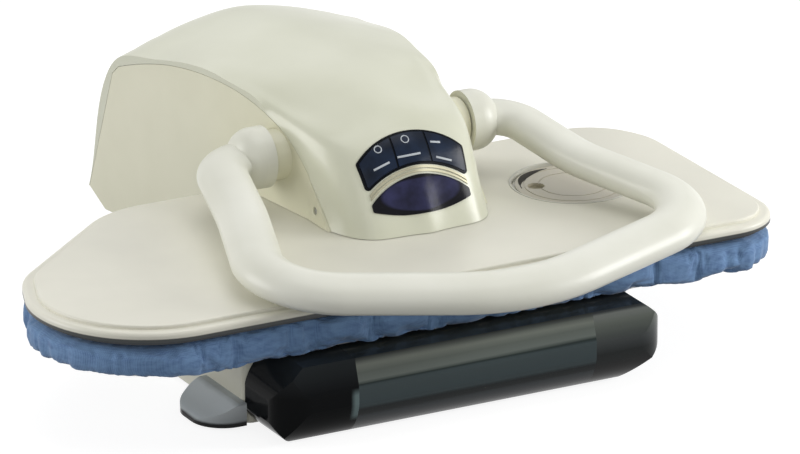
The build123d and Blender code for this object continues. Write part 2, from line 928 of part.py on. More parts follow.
def foot_lobe(inset):
    """Flared lobe at the foot of the base's left wall, drawn in by an inset."""
    wall_x = base_x - base_half
    with BuildPart() as lobe:
        with BuildSketch(Plane.XZ.offset(-foot_block_back)):
            with BuildLine():
                Line((wall_x, floor_gap), (wall_x - foot_block_out + inset, floor_gap))
                Spline(
                    (wall_x - foot_block_out + inset, floor_gap), (wall_x - foot_block_lean + inset, 12 - inset),
                    (wall_x - 6, foot_block_top - inset),
                    tangents=((0, 1), (1, 0.35)),
                )
                Polyline((wall_x - 6, foot_block_top - inset), (wall_x, foot_block_top - inset), (wall_x, floor_gap))
            make_face()
        extrude(amount=foot_block_back - foot_block_front)
        with BuildSketch(Plane.XY.offset(floor_gap)):
            with Locations((wall_x, (foot_block_front + foot_block_back) / 2)):
                RectangleRounded(
                    2 * (foot_block_out - inset), foot_block_back - foot_block_front - 2 * inset,
                    foot_block_round - inset,
                )
        extrude(amount=foot_block_top, mode=Mode.INTERSECT)
    return lobe.part


with BuildPart() as base_foot_left:
    add(foot_lobe(0))
    add(foot_lobe(shell_wall), mode=Mode.SUBTRACT)
save("base_foot_left", base_foot_left)

with BuildPart() as base_foot_right:
    mirror(base_foot_left.part, about=Plane.YZ.offset(base_x))
save("base_foot_right", base_foot_right)

# Hinge: folded bracket, pin, springs
with BuildPart() as hinge_bracket:
    with BuildSketch(Plane.XY.offset(tail_low_top)):
        with Locations((0, (bracket_front + bracket_back) / 2)):
            Rectangle(2 * bracket_face, bracket_back - bracket_front)
    extrude(amount=bracket_sheet)
    with BuildSketch(Plane.YZ.offset(bracket_face - bracket_sheet)):
        with Locations((hinge_y, hinge_z)):
            Circle(bracket_eye)
        with BuildLine():
            Polyline(
                (bracket_front, tail_low_top + bracket_sheet), (bracket_back, tail_low_top + bracket_sheet),
                (bracket_back, tail_low_top + bracket_sheet + 1), (bracket_front, tail_low_top + bracket_sheet + 1),
                (bracket_front, tail_low_top + bracket_sheet),
            )
        make_face()
        make_hull()
        with Locations((hinge_y, hinge_z)):
            Circle(hinge_pin_radius, mode=Mode.SUBTRACT)
    extrude(amount=bracket_sheet)
    mirror(about=Plane.YZ)
    with BuildSketch(Plane.XY.offset(tail_low_top)):
        with Locations(*bracket_screw_places):
            Circle(screw_radius)
    extrude(amount=bracket_sheet, mode=Mode.SUBTRACT)
save("hinge_bracket", hinge_bracket)

with BuildPart() as bracket_screws:
    with BuildSketch(Plane.XY.offset(tail_low_top + bracket_sheet)):
        with Locations(*bracket_screw_places):
            Circle(screw_head)
    extrude(amount=screw_head_height)
    with BuildSketch(Plane.XY.offset(tail_low_top)):
        with Locations(*bracket_screw_places):
            Circle(screw_radius)
    extrude(amount=bracket_sheet)
save("bracket_screws", bracket_screws)

with BuildPart() as hinge_pin:
    with BuildSketch(Plane.YZ.offset(-pin_half)):
        with Locations((hinge_y, hinge_z)):
            Circle(hinge_pin_radius)
    extrude(amount=2 * pin_half)
    with BuildSketch(Plane.YZ.offset(frame_half + 2 * fit_gap)):
        with Locations((hinge_y, hinge_z)):
            Circle(hinge_pin_radius + 3)
    extrude(amount=1.2)
    with BuildSketch(Plane.YZ.offset(-frame_half - 2 * fit_gap)):
        with Locations((hinge_y, hinge_z)):
            Circle(hinge_pin_radius + 3)
    extrude(amount=-1.2)
save("hinge_pin", hinge_pin)

with BuildPart() as counter_springs:
    with BuildLine() as coil:
        Helix(
            pitch=(spring_outer - spring_inner) / spring_turns, height=spring_outer - spring_inner,
            radius=spring_radius, center=(spring_inner, hinge_y, hinge_z), direction=(1, 0, 0),
        )
    with BuildSketch(Plane(origin=coil.line @ 0, z_dir=coil.line % 0)):
        Circle(spring_wire)
    sweep(path=coil.wires()[0])
    with BuildSketch(Plane.XZ.offset(-hinge_y)):
        with Locations((spring_inner, hinge_z + spring_radius)):
            Circle(spring_wire)
    extrude(amount=-spring_leg)
    with BuildSketch(Plane.XY.offset(tail_low_top + bracket_sheet)):
        with Locations((spring_outer, hinge_y - spring_radius)):
            Circle(spring_wire)
    extrude(amount=hinge_z - tail_low_top - bracket_sheet)
    mirror(about=Plane.YZ)
save("counter_springs", counter_springs)

# Padded board: steel tray on two rails, foam and a fabric cover with its hem drawn under the tray
with BuildPart() as board_tray:
    extrude(shoe_sketch(board_top - board_sheet, board_inset), amount=board_sheet)
    extrude(shoe_sketch(board_top - board_lip, board_inset), amount=board_lip)
    extrude(
        shoe_sketch(board_top - board_lip, board_inset + board_sheet), amount=board_lip - board_sheet,
        mode=Mode.SUBTRACT,
    )
    with BuildSketch(Plane.XY.offset(base_top)):
        with Locations((base_x, -rail_y), (base_x, rail_y)):
            Rectangle(2 * rail_half, rail_width)
    extrude(amount=rail_height)
    with BuildSketch(Plane.XY.offset(base_top)):
        with Locations((base_x, -rail_y), (base_x, rail_y)):
            Rectangle(2 * rail_half, rail_width - 16)
    extrude(amount=rail_height, mode=Mode.SUBTRACT)
save("board_tray", board_tray)


def pad_block(rows):
    """Padded form lofted through rows of height and inset."""
    with BuildPart() as block:
        for height, inset in rows:
            add(shoe_sketch(height, inset))
        loft()
    return block.part


inner_rows = [(z, inset + cloth) for z, inset in pad_rows]
inner_rows[0] = (hem_bottom + cloth, inner_rows[0][1])
inner_rows[-1] = (pad_top - cloth, inner_rows[-1][1])
foam_top_row = (pad_top - cloth - fit_gap, inner_rows[-1][1] + fit_gap)
with BuildPart() as pad_cover:
    add(pad_block(pad_rows))
    add(pad_block(inner_rows), mode=Mode.SUBTRACT)
    extrude(shoe_sketch(hem_bottom, board_inset + hem_reach), amount=cloth, mode=Mode.SUBTRACT)
save("pad_cover", pad_cover)

with BuildPart() as pad_foam:
    add(pad_block([(z, inset + fit_gap) for z, inset in inner_rows[:-1]] + [foam_top_row]))
    extrude(shoe_sketch(hem_bottom, -10), amount=board_top - hem_bottom, mode=Mode.SUBTRACT)
save("pad_foam", pad_foam)

# Cover of the shoe: rounded rim, raised panel, neck opening and the round recess
panel_top = rim_bottom + rim_height + panel_rise
ceiling = panel_top - rim_wall
with BuildPart() as shoe_cover:
    extrude(shoe_sketch(rim_bottom + rim_lip, 0), amount=rim_height - rim_lip)
    fillet(shoe_cover.faces().sort_by(Axis.Z)[-1].edges(), radius=rim_round)
    extrude(shoe_sketch(rim_bottom + rim_lip, panel_inset), amount=rim_height + panel_rise - rim_lip)
    fillet(shoe_cover.faces().sort_by(Axis.Z)[-1].edges(), radius=panel_round)
    extrude(shoe_sketch(rim_bottom, rim_wall), amount=rim_height - rim_wall, mode=Mode.SUBTRACT)
    extrude(shoe_sketch(rim_bottom, panel_inset + rim_wall), amount=ceiling - rim_bottom, mode=Mode.SUBTRACT)
    with BuildSketch(Plane.XY.offset(sole_top)):
        with Locations(*post_places):
            Circle(boss_post_radius)
    extrude(amount=ceiling - sole_top)
    with BuildSketch(Plane.XY.offset(sole_top)):
        with Locations(*post_places):
            Circle(stud_radius)
    extrude(amount=stud_length, mode=Mode.SUBTRACT)
    with BuildSketch(Plane.XY.offset(rim_bottom)):
        with Locations((0, (neck_front + neck_back) / 2)):
            Rectangle(2 * neck_half, neck_back - neck_front)
        with Locations((lid_x, lid_y)):
            Circle(recess_radius)
    extrude(amount=panel_top - rim_bottom, mode=Mode.SUBTRACT)
save("shoe_cover", shoe_cover)

# Heating element: one loop around the shoe with both ends upright in the neck
back_run = shoe_back - element_inset
with BuildPart() as element_tube:
    loop = offset(shoe_sketch(sole_top).wires()[0], amount=-element_inset, mode=Mode.PRIVATE)
    loop_wire = loop.wires()[0]
    with BuildSketch(Plane(origin=loop_wire @ 0, z_dir=loop_wire % 0)):
        Circle(element_radius)
    sweep(path=loop_wire)

with BuildPart() as heating_element:
    add(element_tube.part)
    with BuildSketch(Plane.XY.offset(sole_top - 2 * element_radius)):
        with Locations((0, back_run)):
            Rectangle(2 * element_gap, 6 * element_radius)
    extrude(amount=4 * element_radius, mode=Mode.SUBTRACT)
    with BuildSketch(Plane.XY.offset(sole_top)):
        with Locations((element_gap + element_radius, back_run), (-element_gap - element_radius, back_run)):
            Circle(element_radius)
    extrude(amount=element_pin_top - 6 - sole_top)
    with BuildSketch(Plane.XY.offset(sole_top)):
        with Locations((element_gap + element_radius, back_run), (-element_gap - element_radius, back_run)):
            Circle(element_pin_radius)
    extrude(amount=element_pin_top - sole_top)
save("heating_element", heating_element)

# Heated plate with its groove, steam holes and blind threads
with BuildPart() as heating_plate:
    extrude(shoe_sketch(sole_bottom, sole_inset), amount=sole_thickness)
    add(element_tube.part, mode=Mode.SUBTRACT)
    with BuildSketch(Plane.XY.offset(sole_bottom)):
        with Locations(*steam_places):
            Circle(steam_hole_radius)
    extrude(amount=sole_thickness, mode=Mode.SUBTRACT)
    with BuildSketch(Plane.XY.offset(sole_top)):
        with Locations(*post_places):
            Circle(stud_radius)
        with Locations(*frame_screw_places):
            Circle(screw_radius)
    extrude(amount=-thread_depth, mode=Mode.SUBTRACT)
save("heating_plate", heating_plate)

with BuildPart() as shoe_studs:
    with BuildSketch(Plane.XY.offset(sole_top - thread_depth)):
        with Locations(*post_places):
            Circle(stud_radius)
    extrude(amount=thread_depth + stud_length - 1)
save("shoe_studs", shoe_studs)

# Insulation under the cover, cut out around the neck, the tank and the posts
with BuildPart() as insulation_mat:
    extrude(shoe_sketch(ceiling - mat_thickness, mat_inset), amount=mat_thickness)
    with BuildSketch(Plane.XY.offset(ceiling - mat_thickness)):
        with Locations((0, (neck_front + neck_back) / 2)):
            Rectangle(2 * neck_half + 4, neck_back - neck_front + 4)
        with Locations(((tank_left + tank_right) / 2, (tank_front + tank_back) / 2)):
            Rectangle(tank_right - tank_left + 6, tank_back - tank_front + 6)
        with Locations(*post_places):
            Circle(boss_post_radius + 0.5)
    extrude(amount=mat_thickness, mode=Mode.SUBTRACT)
save("insulation_mat", insulation_mat)

# Flat water tank in the shoe, with the ring that fills the cover's round opening
tank_middle = ((tank_left + tank_right) / 2, (tank_front + tank_back) / 2)
with BuildPart() as water_tank:
    with BuildSketch(Plane.XY.offset(sole_top + tank_lift)):
        with Locations(tank_middle):
            RectangleRounded(tank_right - tank_left, tank_back - tank_front, 12)
    extrude(amount=tank_top - sole_top - tank_lift)
    with BuildSketch(Plane.XY.offset(sole_top + tank_lift + tank_wall)):
        with Locations(tank_middle):
            RectangleRounded(tank_right - tank_left - 2 * tank_wall, tank_back - tank_front - 2 * tank_wall, 11)
    extrude(amount=tank_top - sole_top - tank_lift - 2 * tank_wall, mode=Mode.SUBTRACT)
    with BuildSketch(Plane.XY.offset(tank_top)):
        with Locations((lid_x, lid_y)):
            Circle(recess_radius - fit_gap)
            Circle(recess_radius - fit_gap - ring_wall, mode=Mode.SUBTRACT)
    extrude(amount=panel_top + 0.3 - tank_top)
    with BuildSketch(Plane.XY.offset(tank_top)):
        with Locations((lid_x, lid_y)):
            Circle(mouth_radius)
    extrude(amount=-tank_wall, mode=Mode.SUBTRACT)
    with BuildSketch(Plane.YZ.offset(tank_left - spout_length)):
        with Locations((spout_y, spout_z)):
            Circle(spout_radius)
    extrude(amount=spout_length + tank_wall)
    with BuildSketch(Plane.YZ.offset(tank_left - spout_length)):
        with Locations((spout_y, spout_z)):
            Circle(spout_radius - 0.6)
    extrude(amount=spout_length + 2 * tank_wall, mode=Mode.SUBTRACT)
    with BuildSketch(Plane.XY.offset(sole_top)):
        with GridLocations(tank_right - tank_left - 30, tank_back - tank_front - 30, 2, 2):
            with Locations(tank_middle):
                Circle(3)
    extrude(amount=tank_lift)
save("water_tank", water_tank)

with BuildPart() as lid_seal:
    with BuildSketch(Plane.XY.offset(tank_top)):
        with Locations((lid_x, lid_y)):
            Circle(seal_radius + seal_width)
            Circle(seal_radius, mode=Mode.SUBTRACT)
    extrude(amount=seal_height)
save("lid_seal", lid_seal)

# Round lid with its ring steps and the finger well
well = (
    lid_x + well_offset * cos(radians(well_angle)),
    lid_y + well_offset * sin(radians(well_angle)),
)
with BuildPart() as filler_lid:
    with BuildSketch(Plane.XY.offset(lid_bottom)):
        with Locations((lid_x, lid_y)):
            Circle(lid_radius)
    extrude(amount=lid_sheet)
    with BuildSketch(Plane.XY.offset(lid_bottom - plug_depth_down)):
        with Locations((lid_x, lid_y)):
            Circle(mouth_radius - fit_gap)
            Circle(mouth_radius - fit_gap - plug_wall, mode=Mode.SUBTRACT)
        with Locations(well):
            Circle(well_radius + plug_wall)
    extrude(amount=plug_depth_down)
    with BuildSketch(Plane.XY.offset(lid_bottom + lid_sheet)):
        with Locations(well):
            Circle(well_radius)
    extrude(amount=-well_depth, mode=Mode.SUBTRACT)
    with BuildSketch(Plane.XY.offset(lid_bottom + lid_sheet)):
        with Locations((lid_x, lid_y)):
            Circle(lid_ring_radii[1])
            Circle(lid_ring_radii[1] - 1, mode=Mode.SUBTRACT)
            Circle(lid_ring_radii[0])
            Circle(lid_ring_radii[0] - 1, mode=Mode.SUBTRACT)
    extrude(amount=-lid_groove, mode=Mode.SUBTRACT)
save("filler_lid", filler_lid)

# Arm frame: two folded side plates with feet on the heated plate, a web over the top and a rod
# that the springs push on
with BuildPart() as frame_side:
    with BuildSketch(Plane.YZ.offset(frame_half - frame_sheet)):
        with BuildLine():
            Polyline(
                (0, sole_top), (frame_foot_back, sole_top), (frame_foot_back, frame_over_cover),
                (inner_wall_y, frame_over_cover), (150, 100), (268, hinge_z - 10), (hinge_y + 10, 74), (262, 120),
                (215, 165), (web_back, frame_top), (web_front, frame_top), (25, 160), (0, 125), (0, sole_top),
            )
        make_face()
        with BuildSketch(Plane.YZ.offset(frame_half - frame_sheet)) as eye:
            with Locations((hinge_y, hinge_z)):
                Circle(eye_radius)
            with Locations((rod_y, hinge_z + spring_radius - spring_wire - fit_gap - rod_radius)):
                Circle(rod_radius + 4)
            make_hull()
        with Locations((hinge_y, hinge_z)):
            Circle(hinge_pin_radius + shaft_gap + bush_wall, mode=Mode.SUBTRACT)
        with Locations((pivot_y, pivot_z)):
            Circle(shaft_radius + shaft_gap + bush_wall, mode=Mode.SUBTRACT)
        with Locations((side_screw_y, side_screw_z)):
            Circle(side_screw_radius - 0.5, mode=Mode.SUBTRACT)
    extrude(amount=frame_sheet)
    with BuildSketch(Plane.XY.offset(sole_top)):
        with Locations((frame_half - frame_foot_width / 2, frame_foot_back / 2)):
            Rectangle(frame_foot_width, frame_foot_back)
    extrude(amount=frame_sheet)

with BuildPart() as arm_frame:
    add(frame_side.part)
    mirror(frame_side.part, about=Plane.YZ)
    with BuildSketch(Plane.XY.offset(frame_top - frame_sheet)):
        with Locations((0, (web_front + web_back) / 2)):
            Rectangle(2 * frame_half, web_back - web_front)
    extrude(amount=frame_sheet)
    with BuildSketch(Plane.YZ.offset(-frame_half + frame_sheet)):
        with Locations((rod_y, hinge_z + spring_radius - spring_wire - fit_gap - rod_radius)):
            Circle(rod_radius)
    extrude(amount=2 * (frame_half - frame_sheet))
    with BuildSketch(Plane.XY.offset(sole_top)):
        with Locations(*frame_screw_places):
            Circle(screw_radius)
    extrude(amount=frame_sheet, mode=Mode.SUBTRACT)
save("arm_frame", arm_frame)

with BuildPart() as frame_screws:
    with BuildSketch(Plane.XY.offset(sole_top + frame_sheet)):
        with Locations(*frame_screw_places):
            Circle(screw_head)
    extrude(amount=screw_head_height)
    with BuildSketch(Plane.XY.offset(sole_top - thread_depth)):
        with Locations(*frame_screw_places):
            Circle(screw_radius)
    extrude(amount=thread_depth + frame_sheet)
save("frame_screws", frame_screws)


def bush(y, z, bore):
    """Flanged bush of the right side plate."""
    with BuildPart() as ring:
        with BuildSketch(Plane.YZ.offset(frame_half - frame_sheet)):
            with Locations((y, z)):
                Circle(bore + bush_wall)
                Circle(bore, mode=Mode.SUBTRACT)
        extrude(amount=frame_sheet)
        with BuildSketch(Plane.YZ.offset(frame_half - frame_sheet - bush_flange)):
            with Locations((y, z)):
                Circle(bore + 2 * bush_wall)
                Circle(bore, mode=Mode.SUBTRACT)
        extrude(amount=bush_flange)
    return ring.part


with BuildPart() as arm_bushes:
    add(bush(hinge_y, hinge_z, hinge_pin_radius + shaft_gap))
    add(bush(pivot_y, pivot_z, shaft_radius + shaft_gap))
    mirror(about=Plane.YZ)
save("arm_bushes", arm_bushes)

with BuildPart() as side_screws:
    with BuildSketch(Plane.YZ.offset(head_front_half - shell_wall - screw_spacer)):
        with Locations((side_screw_y, side_screw_z)):
            Circle(side_screw_radius + 2)
    extrude(amount=screw_spacer)
    with BuildSketch(Plane.YZ.offset(frame_half - frame_sheet)):
        with Locations((side_screw_y, side_screw_z)):
            Circle(side_screw_radius - 0.5)
    extrude(amount=head_front_half - frame_half + frame_sheet - 1)
    with BuildSketch(Plane.YZ.offset(head_front_half - shell_wall)):
        with Locations((side_screw_y, side_screw_z)):
            Circle(side_screw_radius)
    extrude(amount=shell_wall - 1)
    mirror(about=Plane.YZ)
save("side_screws", side_screws)

# Inner cover behind the board, which closes the head from below
floor_z = rim_bottom + seam_low_front[1] + shell_wall
with BuildPart() as arm_inner_cover:
    with BuildSketch(Plane.YZ.offset(-120)):
        with BuildLine():
            Polyline(
                (inner_wall_y, panel_top + 0.5), (inner_wall_y, rim_bottom - 50),
                (seam_low_front[0], rim_bottom + seam_low_front[1]),
                (inner_floor_back, rim_bottom + seam_low_front[1]),
                (inner_floor_back, floor_z),
                (seam_low_front[0] + 1, floor_z),
                (inner_wall_y + shell_wall, rim_bottom - 49), (inner_wall_y + shell_wall, panel_top + 0.5),
                (inner_wall_y, panel_top + 0.5),
            )
        make_face()
    extrude(amount=240)
    add(inner_prism, mode=Mode.INTERSECT)
save("arm_inner_cover", arm_inner_cover)

# Pump on the inner cover, its hoses, and the steam block with its thermostat and fuse
with BuildPart() as pump:
    with BuildSketch(Plane.XY.offset(floor_z)):
        with Locations((0, pump_y)):
            RectangleRounded(pump_width, pump_length, 4)
    extrude(amount=pump_foot)
    with BuildSketch(Plane.XZ.offset(-pump_y - pump_length / 2 + 3)):
        with Locations((0, floor_z + pump_foot + pump_radius - 3)):
            Circle(pump_radius)
    extrude(amount=pump_length - 6)
    with BuildSketch(Plane.XY.offset(floor_z + pump_foot + pump_radius)):
        with Locations((pump_port_x, pump_y - 12), (-pump_port_x, pump_y - 12)):
            Circle(port_radius)
    extrude(amount=pump_radius + 2)
save("pump", pump)


def hose(points):
    """Soft hose along rounded runs."""
    with BuildPart() as tube:
        with BuildLine() as line:
            FilletPolyline(*points, radius=hose_bend)
        with BuildSketch(Plane(origin=line.line @ 0, z_dir=line.line % 0)):
            Circle(hose_radius)
            Circle(hose_radius - hose_wall, mode=Mode.SUBTRACT)
        sweep(path=line.wires()[0])
    return tube.part


port_top = floor_z + pump_foot + 2 * pump_radius + 2
with BuildPart() as suction_hose:
    add(hose([
        (tank_left - spout_length, spout_y, spout_z), (76, spout_y, spout_z), (64, 84, spout_z), (40, 88, 116),
        (26, 118, 118), (pump_port_x, pump_y - 12, 118), (pump_port_x, pump_y - 12, port_top),
    ]))
save("suction_hose", suction_hose)

with BuildPart() as steam_hose:
    add(hose([
        (-pump_port_x, pump_y - 12, port_top), (-pump_port_x, pump_y - 12, 120), (-16, 100, 120),
        (0, 76, 120), (0, steam_block_y, 120), (0, steam_block_y, steam_block_top),
    ]))
save("steam_hose", steam_hose)

with BuildPart() as steam_block:
    with BuildSketch(Plane.XY.offset(sole_top)):
        with Locations((0, steam_block_y)):
            RectangleRounded(30, 22, 2)
    extrude(amount=steam_block_top - 3 - sole_top)
    with BuildSketch(Plane.XY.offset(steam_block_top - 3)):
        with Locations((0, steam_block_y)):
            Circle(port_radius)
    extrude(amount=3)
save("steam_block", steam_block)

with BuildPart() as thermostat:
    with BuildSketch(Plane.XY.offset(sole_top)):
        with Locations((0, 24)):
            Circle(8)
    extrude(amount=7)
    with BuildSketch(Plane.XY.offset(sole_top + 7)):
        with Locations((-4, 24), (4, 24)):
            Rectangle(1, 5)
    extrude(amount=6)
save("thermostat", thermostat)

with BuildPart() as thermal_fuse:
    with BuildSketch(Plane.YZ.offset(-11)):
        with Locations((4, sole_top + 2.5)):
            Circle(2.5)
    extrude(amount=22)
save("thermal_fuse", thermal_fuse)
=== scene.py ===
"""Dresses the steam press: finishes for its covers and metal parts, the cloth of its padded board,
the marks of its keys, and a plain studio with the camera."""

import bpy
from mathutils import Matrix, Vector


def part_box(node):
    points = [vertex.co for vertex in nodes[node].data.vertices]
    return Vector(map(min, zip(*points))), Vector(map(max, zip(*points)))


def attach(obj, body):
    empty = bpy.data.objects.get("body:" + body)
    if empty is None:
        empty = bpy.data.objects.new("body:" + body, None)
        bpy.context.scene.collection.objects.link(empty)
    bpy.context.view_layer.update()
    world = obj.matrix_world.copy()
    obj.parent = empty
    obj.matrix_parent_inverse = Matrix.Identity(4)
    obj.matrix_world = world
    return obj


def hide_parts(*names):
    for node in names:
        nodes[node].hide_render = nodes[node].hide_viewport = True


bl_info = {
    "name": "Steam press",
    "version": (1, 0, 0),
    "blender": (4, 5, 0),
    "location": "3D View > Sidebar > Press",
    "description": "Finishes and soft parts of a tabletop steam press",
    "category": "Object",
}

from math import cos, exp, hypot, radians, sin, tan

import bpy
from mathutils import Matrix, Vector, noise

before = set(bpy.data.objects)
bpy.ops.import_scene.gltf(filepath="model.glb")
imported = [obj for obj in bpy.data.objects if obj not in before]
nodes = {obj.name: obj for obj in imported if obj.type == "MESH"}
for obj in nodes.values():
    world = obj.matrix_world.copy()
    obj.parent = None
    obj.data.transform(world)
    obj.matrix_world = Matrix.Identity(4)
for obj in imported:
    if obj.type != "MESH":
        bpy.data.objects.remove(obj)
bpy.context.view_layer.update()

# Corners of the board seen from above, from the front of the nose round by the right, and their radii
nose_lean = 0.379
board_front, board_back, board_right = -0.150, 0.124, 0.272
knee = (-0.325, 0.016)
taper_end = -0.199
board_corners = [
    (knee[0] - (knee[1] - board_front) * nose_lean, board_front), (board_right, board_front),
    (board_right, board_back), (taper_end, board_back), knee,
]
board_radii = [0.095, 0.047, 0.065, 0.085, 0.065]
board_middle = Vector((-0.02, -0.02, 0))

# Side of the pad from its hem to its top edge: height and inset from the board's outline
pad_side = [(0.0655, 0.0105), (0.0665, 0.0065), (0.0700, 0.0040), (0.0760, 0.0022), (0.0830, 0.0020),
            (0.0885, 0.0028), (0.0915, 0.0044), (0.0930, 0.0070)]
pad_top = 0.0934
tray_top = 0.0692
hem_top = 0.0664
tray_edge = 0.0125
hem_reach = 0.037
top_inset = 0.0095
cloth_ease = 0.0008

# Where the pad's cloth is drawn together: place along the board and reach, at the nose and the right end
nose_gather, nose_reach = -0.360, 0.060
end_gather, end_reach = 0.262, 0.075
least_gather = 0.06
# The folds reach this far in from the outline, and the cloth is drawn in all round
fold_band = 0.02
drawn_in = 0.0006
# The lower edge runs unevenly below this share of the side
ragged_from = 0.72
fill_frames = 20

# The sloping front of the head: its foot line and its slope
front_slope = radians(57)
front_foot = Vector((0, -0.0545, 0.1095))

# Marks of the keys: section of a ring, width and rounding of a bar
ring_section = 0.00045
bar_width = 0.0017
bar_round = 0.00012

# Dark crescent on the lid, painted shade of its finger recess: its inset from the lid's edge, half width,
# flatness, and its arc in degrees
crescent_inset = 0.0042
crescent_half = 0.0036
crescent_flat = 0.08
crescent_from, crescent_step, crescent_gaps = 90, 9.5, 7

# Painted shade along the lower edge of the shoe's cover, under its rim: heights above the rim between which
# it fades
painted_shade_band = (0.0022, 0.0030)

# Smoked front: its top, and the heights between which the painted highlight beside the left end's joint with
# the window comes and goes
smoked_top = 0.066
glint_rise = (0.014, 0.019)
glint_fall = (0.036, 0.042)

# Stage: height that the camera looks at, light all round, and the floor's reach and glow
target_height = 0.097
world_light = 0.35
floor_reach = 9
floor_glow = 0.86


def linear(colour):
    """Screen colour from 0 to 255 as the light value that a shader takes."""
    scaled = [c / 255 for c in colour]
    return [c / 12.92 if c <= 0.04045 else ((c + 0.055) / 1.055) ** 2.4 for c in scaled] + [1.0]


def tinted(colour, factor):
    """A colour made lighter or darker by a factor."""
    return [min(255, c * factor) for c in colour]


class Finish:
    """One material with a short way to add and join its nodes."""

    def __init__(self, name, rough, metal=0.0):
        self.made = bpy.data.materials.new(name)
        self.made.use_nodes = True
        self.tree = self.made.node_tree
        self.shader = self.tree.nodes["Principled BSDF"]
        self.shader.inputs["Roughness"].default_value = rough
        self.shader.inputs["Metallic"].default_value = metal
        self.place = self.add("ShaderNodeTexCoord").outputs["Object"]

    def add(self, kind, **values):
        """New node; a value is a property, a socket's number, or the socket that feeds it."""
        node = self.tree.nodes.new(kind)
        for key, value in values.items():
            socket = node.inputs.get(key.replace("_", " ").title())
            if socket is None:
                setattr(node, key, value)
            elif isinstance(value, bpy.types.NodeSocket):
                self.tree.links.new(value, socket)
            else:
                socket.default_value = value
        return node

    def join(self, source, socket):
        """Feeds a socket of the shader."""
        self.tree.links.new(source, self.shader.inputs[socket])

    def noise(self, scale, detail=3.0, stretch=None):
        """Cloudy pattern over the surface, stretched along an axis if asked."""
        place = self.place
        if stretch:
            place = self.add("ShaderNodeMapping", vector=place, scale=stretch).outputs[0]
        return self.add("ShaderNodeTexNoise", vector=place, scale=scale, detail=detail).outputs["Fac"]

    def waves(self, scale, axis, distortion=0.0):
        """Fine parallel bands across an axis."""
        return self.add(
            "ShaderNodeTexWave", wave_type="BANDS", bands_direction=axis, vector=self.place,
            scale=scale, distortion=distortion,
        ).outputs["Fac"]

    def ramp(self, source, stops):
        """Colours along a value from 0 to 1."""
        node = self.add("ShaderNodeValToRGB", fac=source)
        elements = node.color_ramp.elements
        while len(elements) < len(stops):
            elements.new(0.5)
        for element, (place, colour) in zip(elements, stops):
            element.position = place
            element.color = linear(colour)
        return node.outputs["Color"]

    def span(self, source, low, high, from_low=0.0, from_high=1.0):
        """A value moved from one range to another."""
        return self.add(
            "ShaderNodeMapRange", value=source, from_min=from_low, from_max=from_high, to_min=low,
            to_max=high,
        ).outputs["Result"]

    def math(self, operation, first, second):
        """Two values joined by an operation."""
        node = self.tree.nodes.new("ShaderNodeMath")
        node.operation = operation
        for socket, value in zip(node.inputs, (first, second)):
            if isinstance(value, bpy.types.NodeSocket):
                self.tree.links.new(value, socket)
            else:
                socket.default_value = value
        return node.outputs[0]

    def blend(self, share, first, colour):
        """Lays a plain colour over the first one by a share from 0 to 1."""
        node = self.add("ShaderNodeMix", data_type="RGBA")
        self.tree.links.new(share, node.inputs[0])
        self.tree.links.new(first, node.inputs[6])
        node.inputs[7].default_value = linear(colour)
        return node.outputs[2]

    def squared_share(self, value, half):
        """Square of a value as a share of a half width."""
        share = self.math("ABSOLUTE", self.math("DIVIDE", value, half), 0)
        return self.math("POWER", share, 2)

    def relief(self, height, depth, strength=1.0):
        """Small relief on the surface, its depth in metres."""
        bump = self.add("ShaderNodeBump", height=height, distance=depth, strength=strength)
        self.join(bump.outputs["Normal"], "Normal")


def moulded(name, colour, rough=0.35, coat=0.0, grain=0.00002, warmth=0.95, shine=0.4):
    """Moulded plastic: faint clouding of its colour, a fine moulding grain and uneven gloss."""
    look = Finish(name, rough)
    warm = [colour[0] * warmth, colour[1] * warmth, colour[2] * warmth * 0.985]
    look.join(look.ramp(look.noise(7, 4), [(0.35, warm), (0.65, colour)]), "Base Color")
    look.join(look.span(look.noise(22, 3), rough * 0.85, rough * 1.15), "Roughness")
    look.relief(look.noise(1400, 2), grain, 0.35)
    look.shader.inputs["Specular IOR Level"].default_value = shine
    look.shader.inputs["Coat Weight"].default_value = coat
    look.shader.inputs["Coat Roughness"].default_value = 0.2
    return look.made


def edge_shaded(name, colour, edge, low, high, rough=0.38):
    """Moulded plastic with painted shade along its lowest edge, up to a height in metres."""
    look = Finish(name, rough)
    height = look.add("ShaderNodeSeparateXYZ", vector=look.place).outputs["Z"]
    clouds = look.ramp(look.noise(7, 4), [(0.35, tinted(colour, 0.96)), (0.65, colour)])
    look.join(look.blend(look.span(height, 1, 0, low, high), clouds, edge), "Base Color")
    look.join(look.span(look.noise(22, 3), rough * 0.85, rough * 1.15), "Roughness")
    look.relief(look.noise(1400, 2), 0.00003, 0.35)
    return look.made


def glossy_navy(name, colour, mid_height, rough=0.25, border=None):
    """Glossy dark plastic, its face softly crowned up the slope about a middle height.

    A border, given as a half width and a half height, darkens the face towards its edge.
    """
    look = Finish(name, rough)
    tone = look.ramp(look.noise(60, 4), [(0.35, tinted(colour, 0.7)), (0.65, tinted(colour, 1.1))])
    split = look.add("ShaderNodeSeparateXYZ", vector=look.place)
    up = look.math("MULTIPLY", look.math("SUBTRACT", split.outputs["Z"], mid_height), 1 / sin(front_slope))
    bowl = look.math("MULTIPLY", look.math("MULTIPLY", up, up), -5.0)
    if border:
        wide = look.squared_share(split.outputs["X"], border[0])
        high = look.squared_share(up, border[1])
        tone = look.blend(look.span(look.math("ADD", wide, high), 0, 1, 0.58, 0.72), tone, (9, 9, 16))
    look.join(tone, "Base Color")
    ripple = look.math("MULTIPLY", look.noise(110, 3, (0.4, 1, 1)), 0.0002)
    look.relief(look.math("ADD", bowl, ripple), 1.0, 1.0)
    look.shader.inputs["Specular IOR Level"].default_value = 0.12
    look.shader.inputs["Coat Weight"].default_value = 0.06
    look.shader.inputs["Coat Roughness"].default_value = 0.1
    return look.made


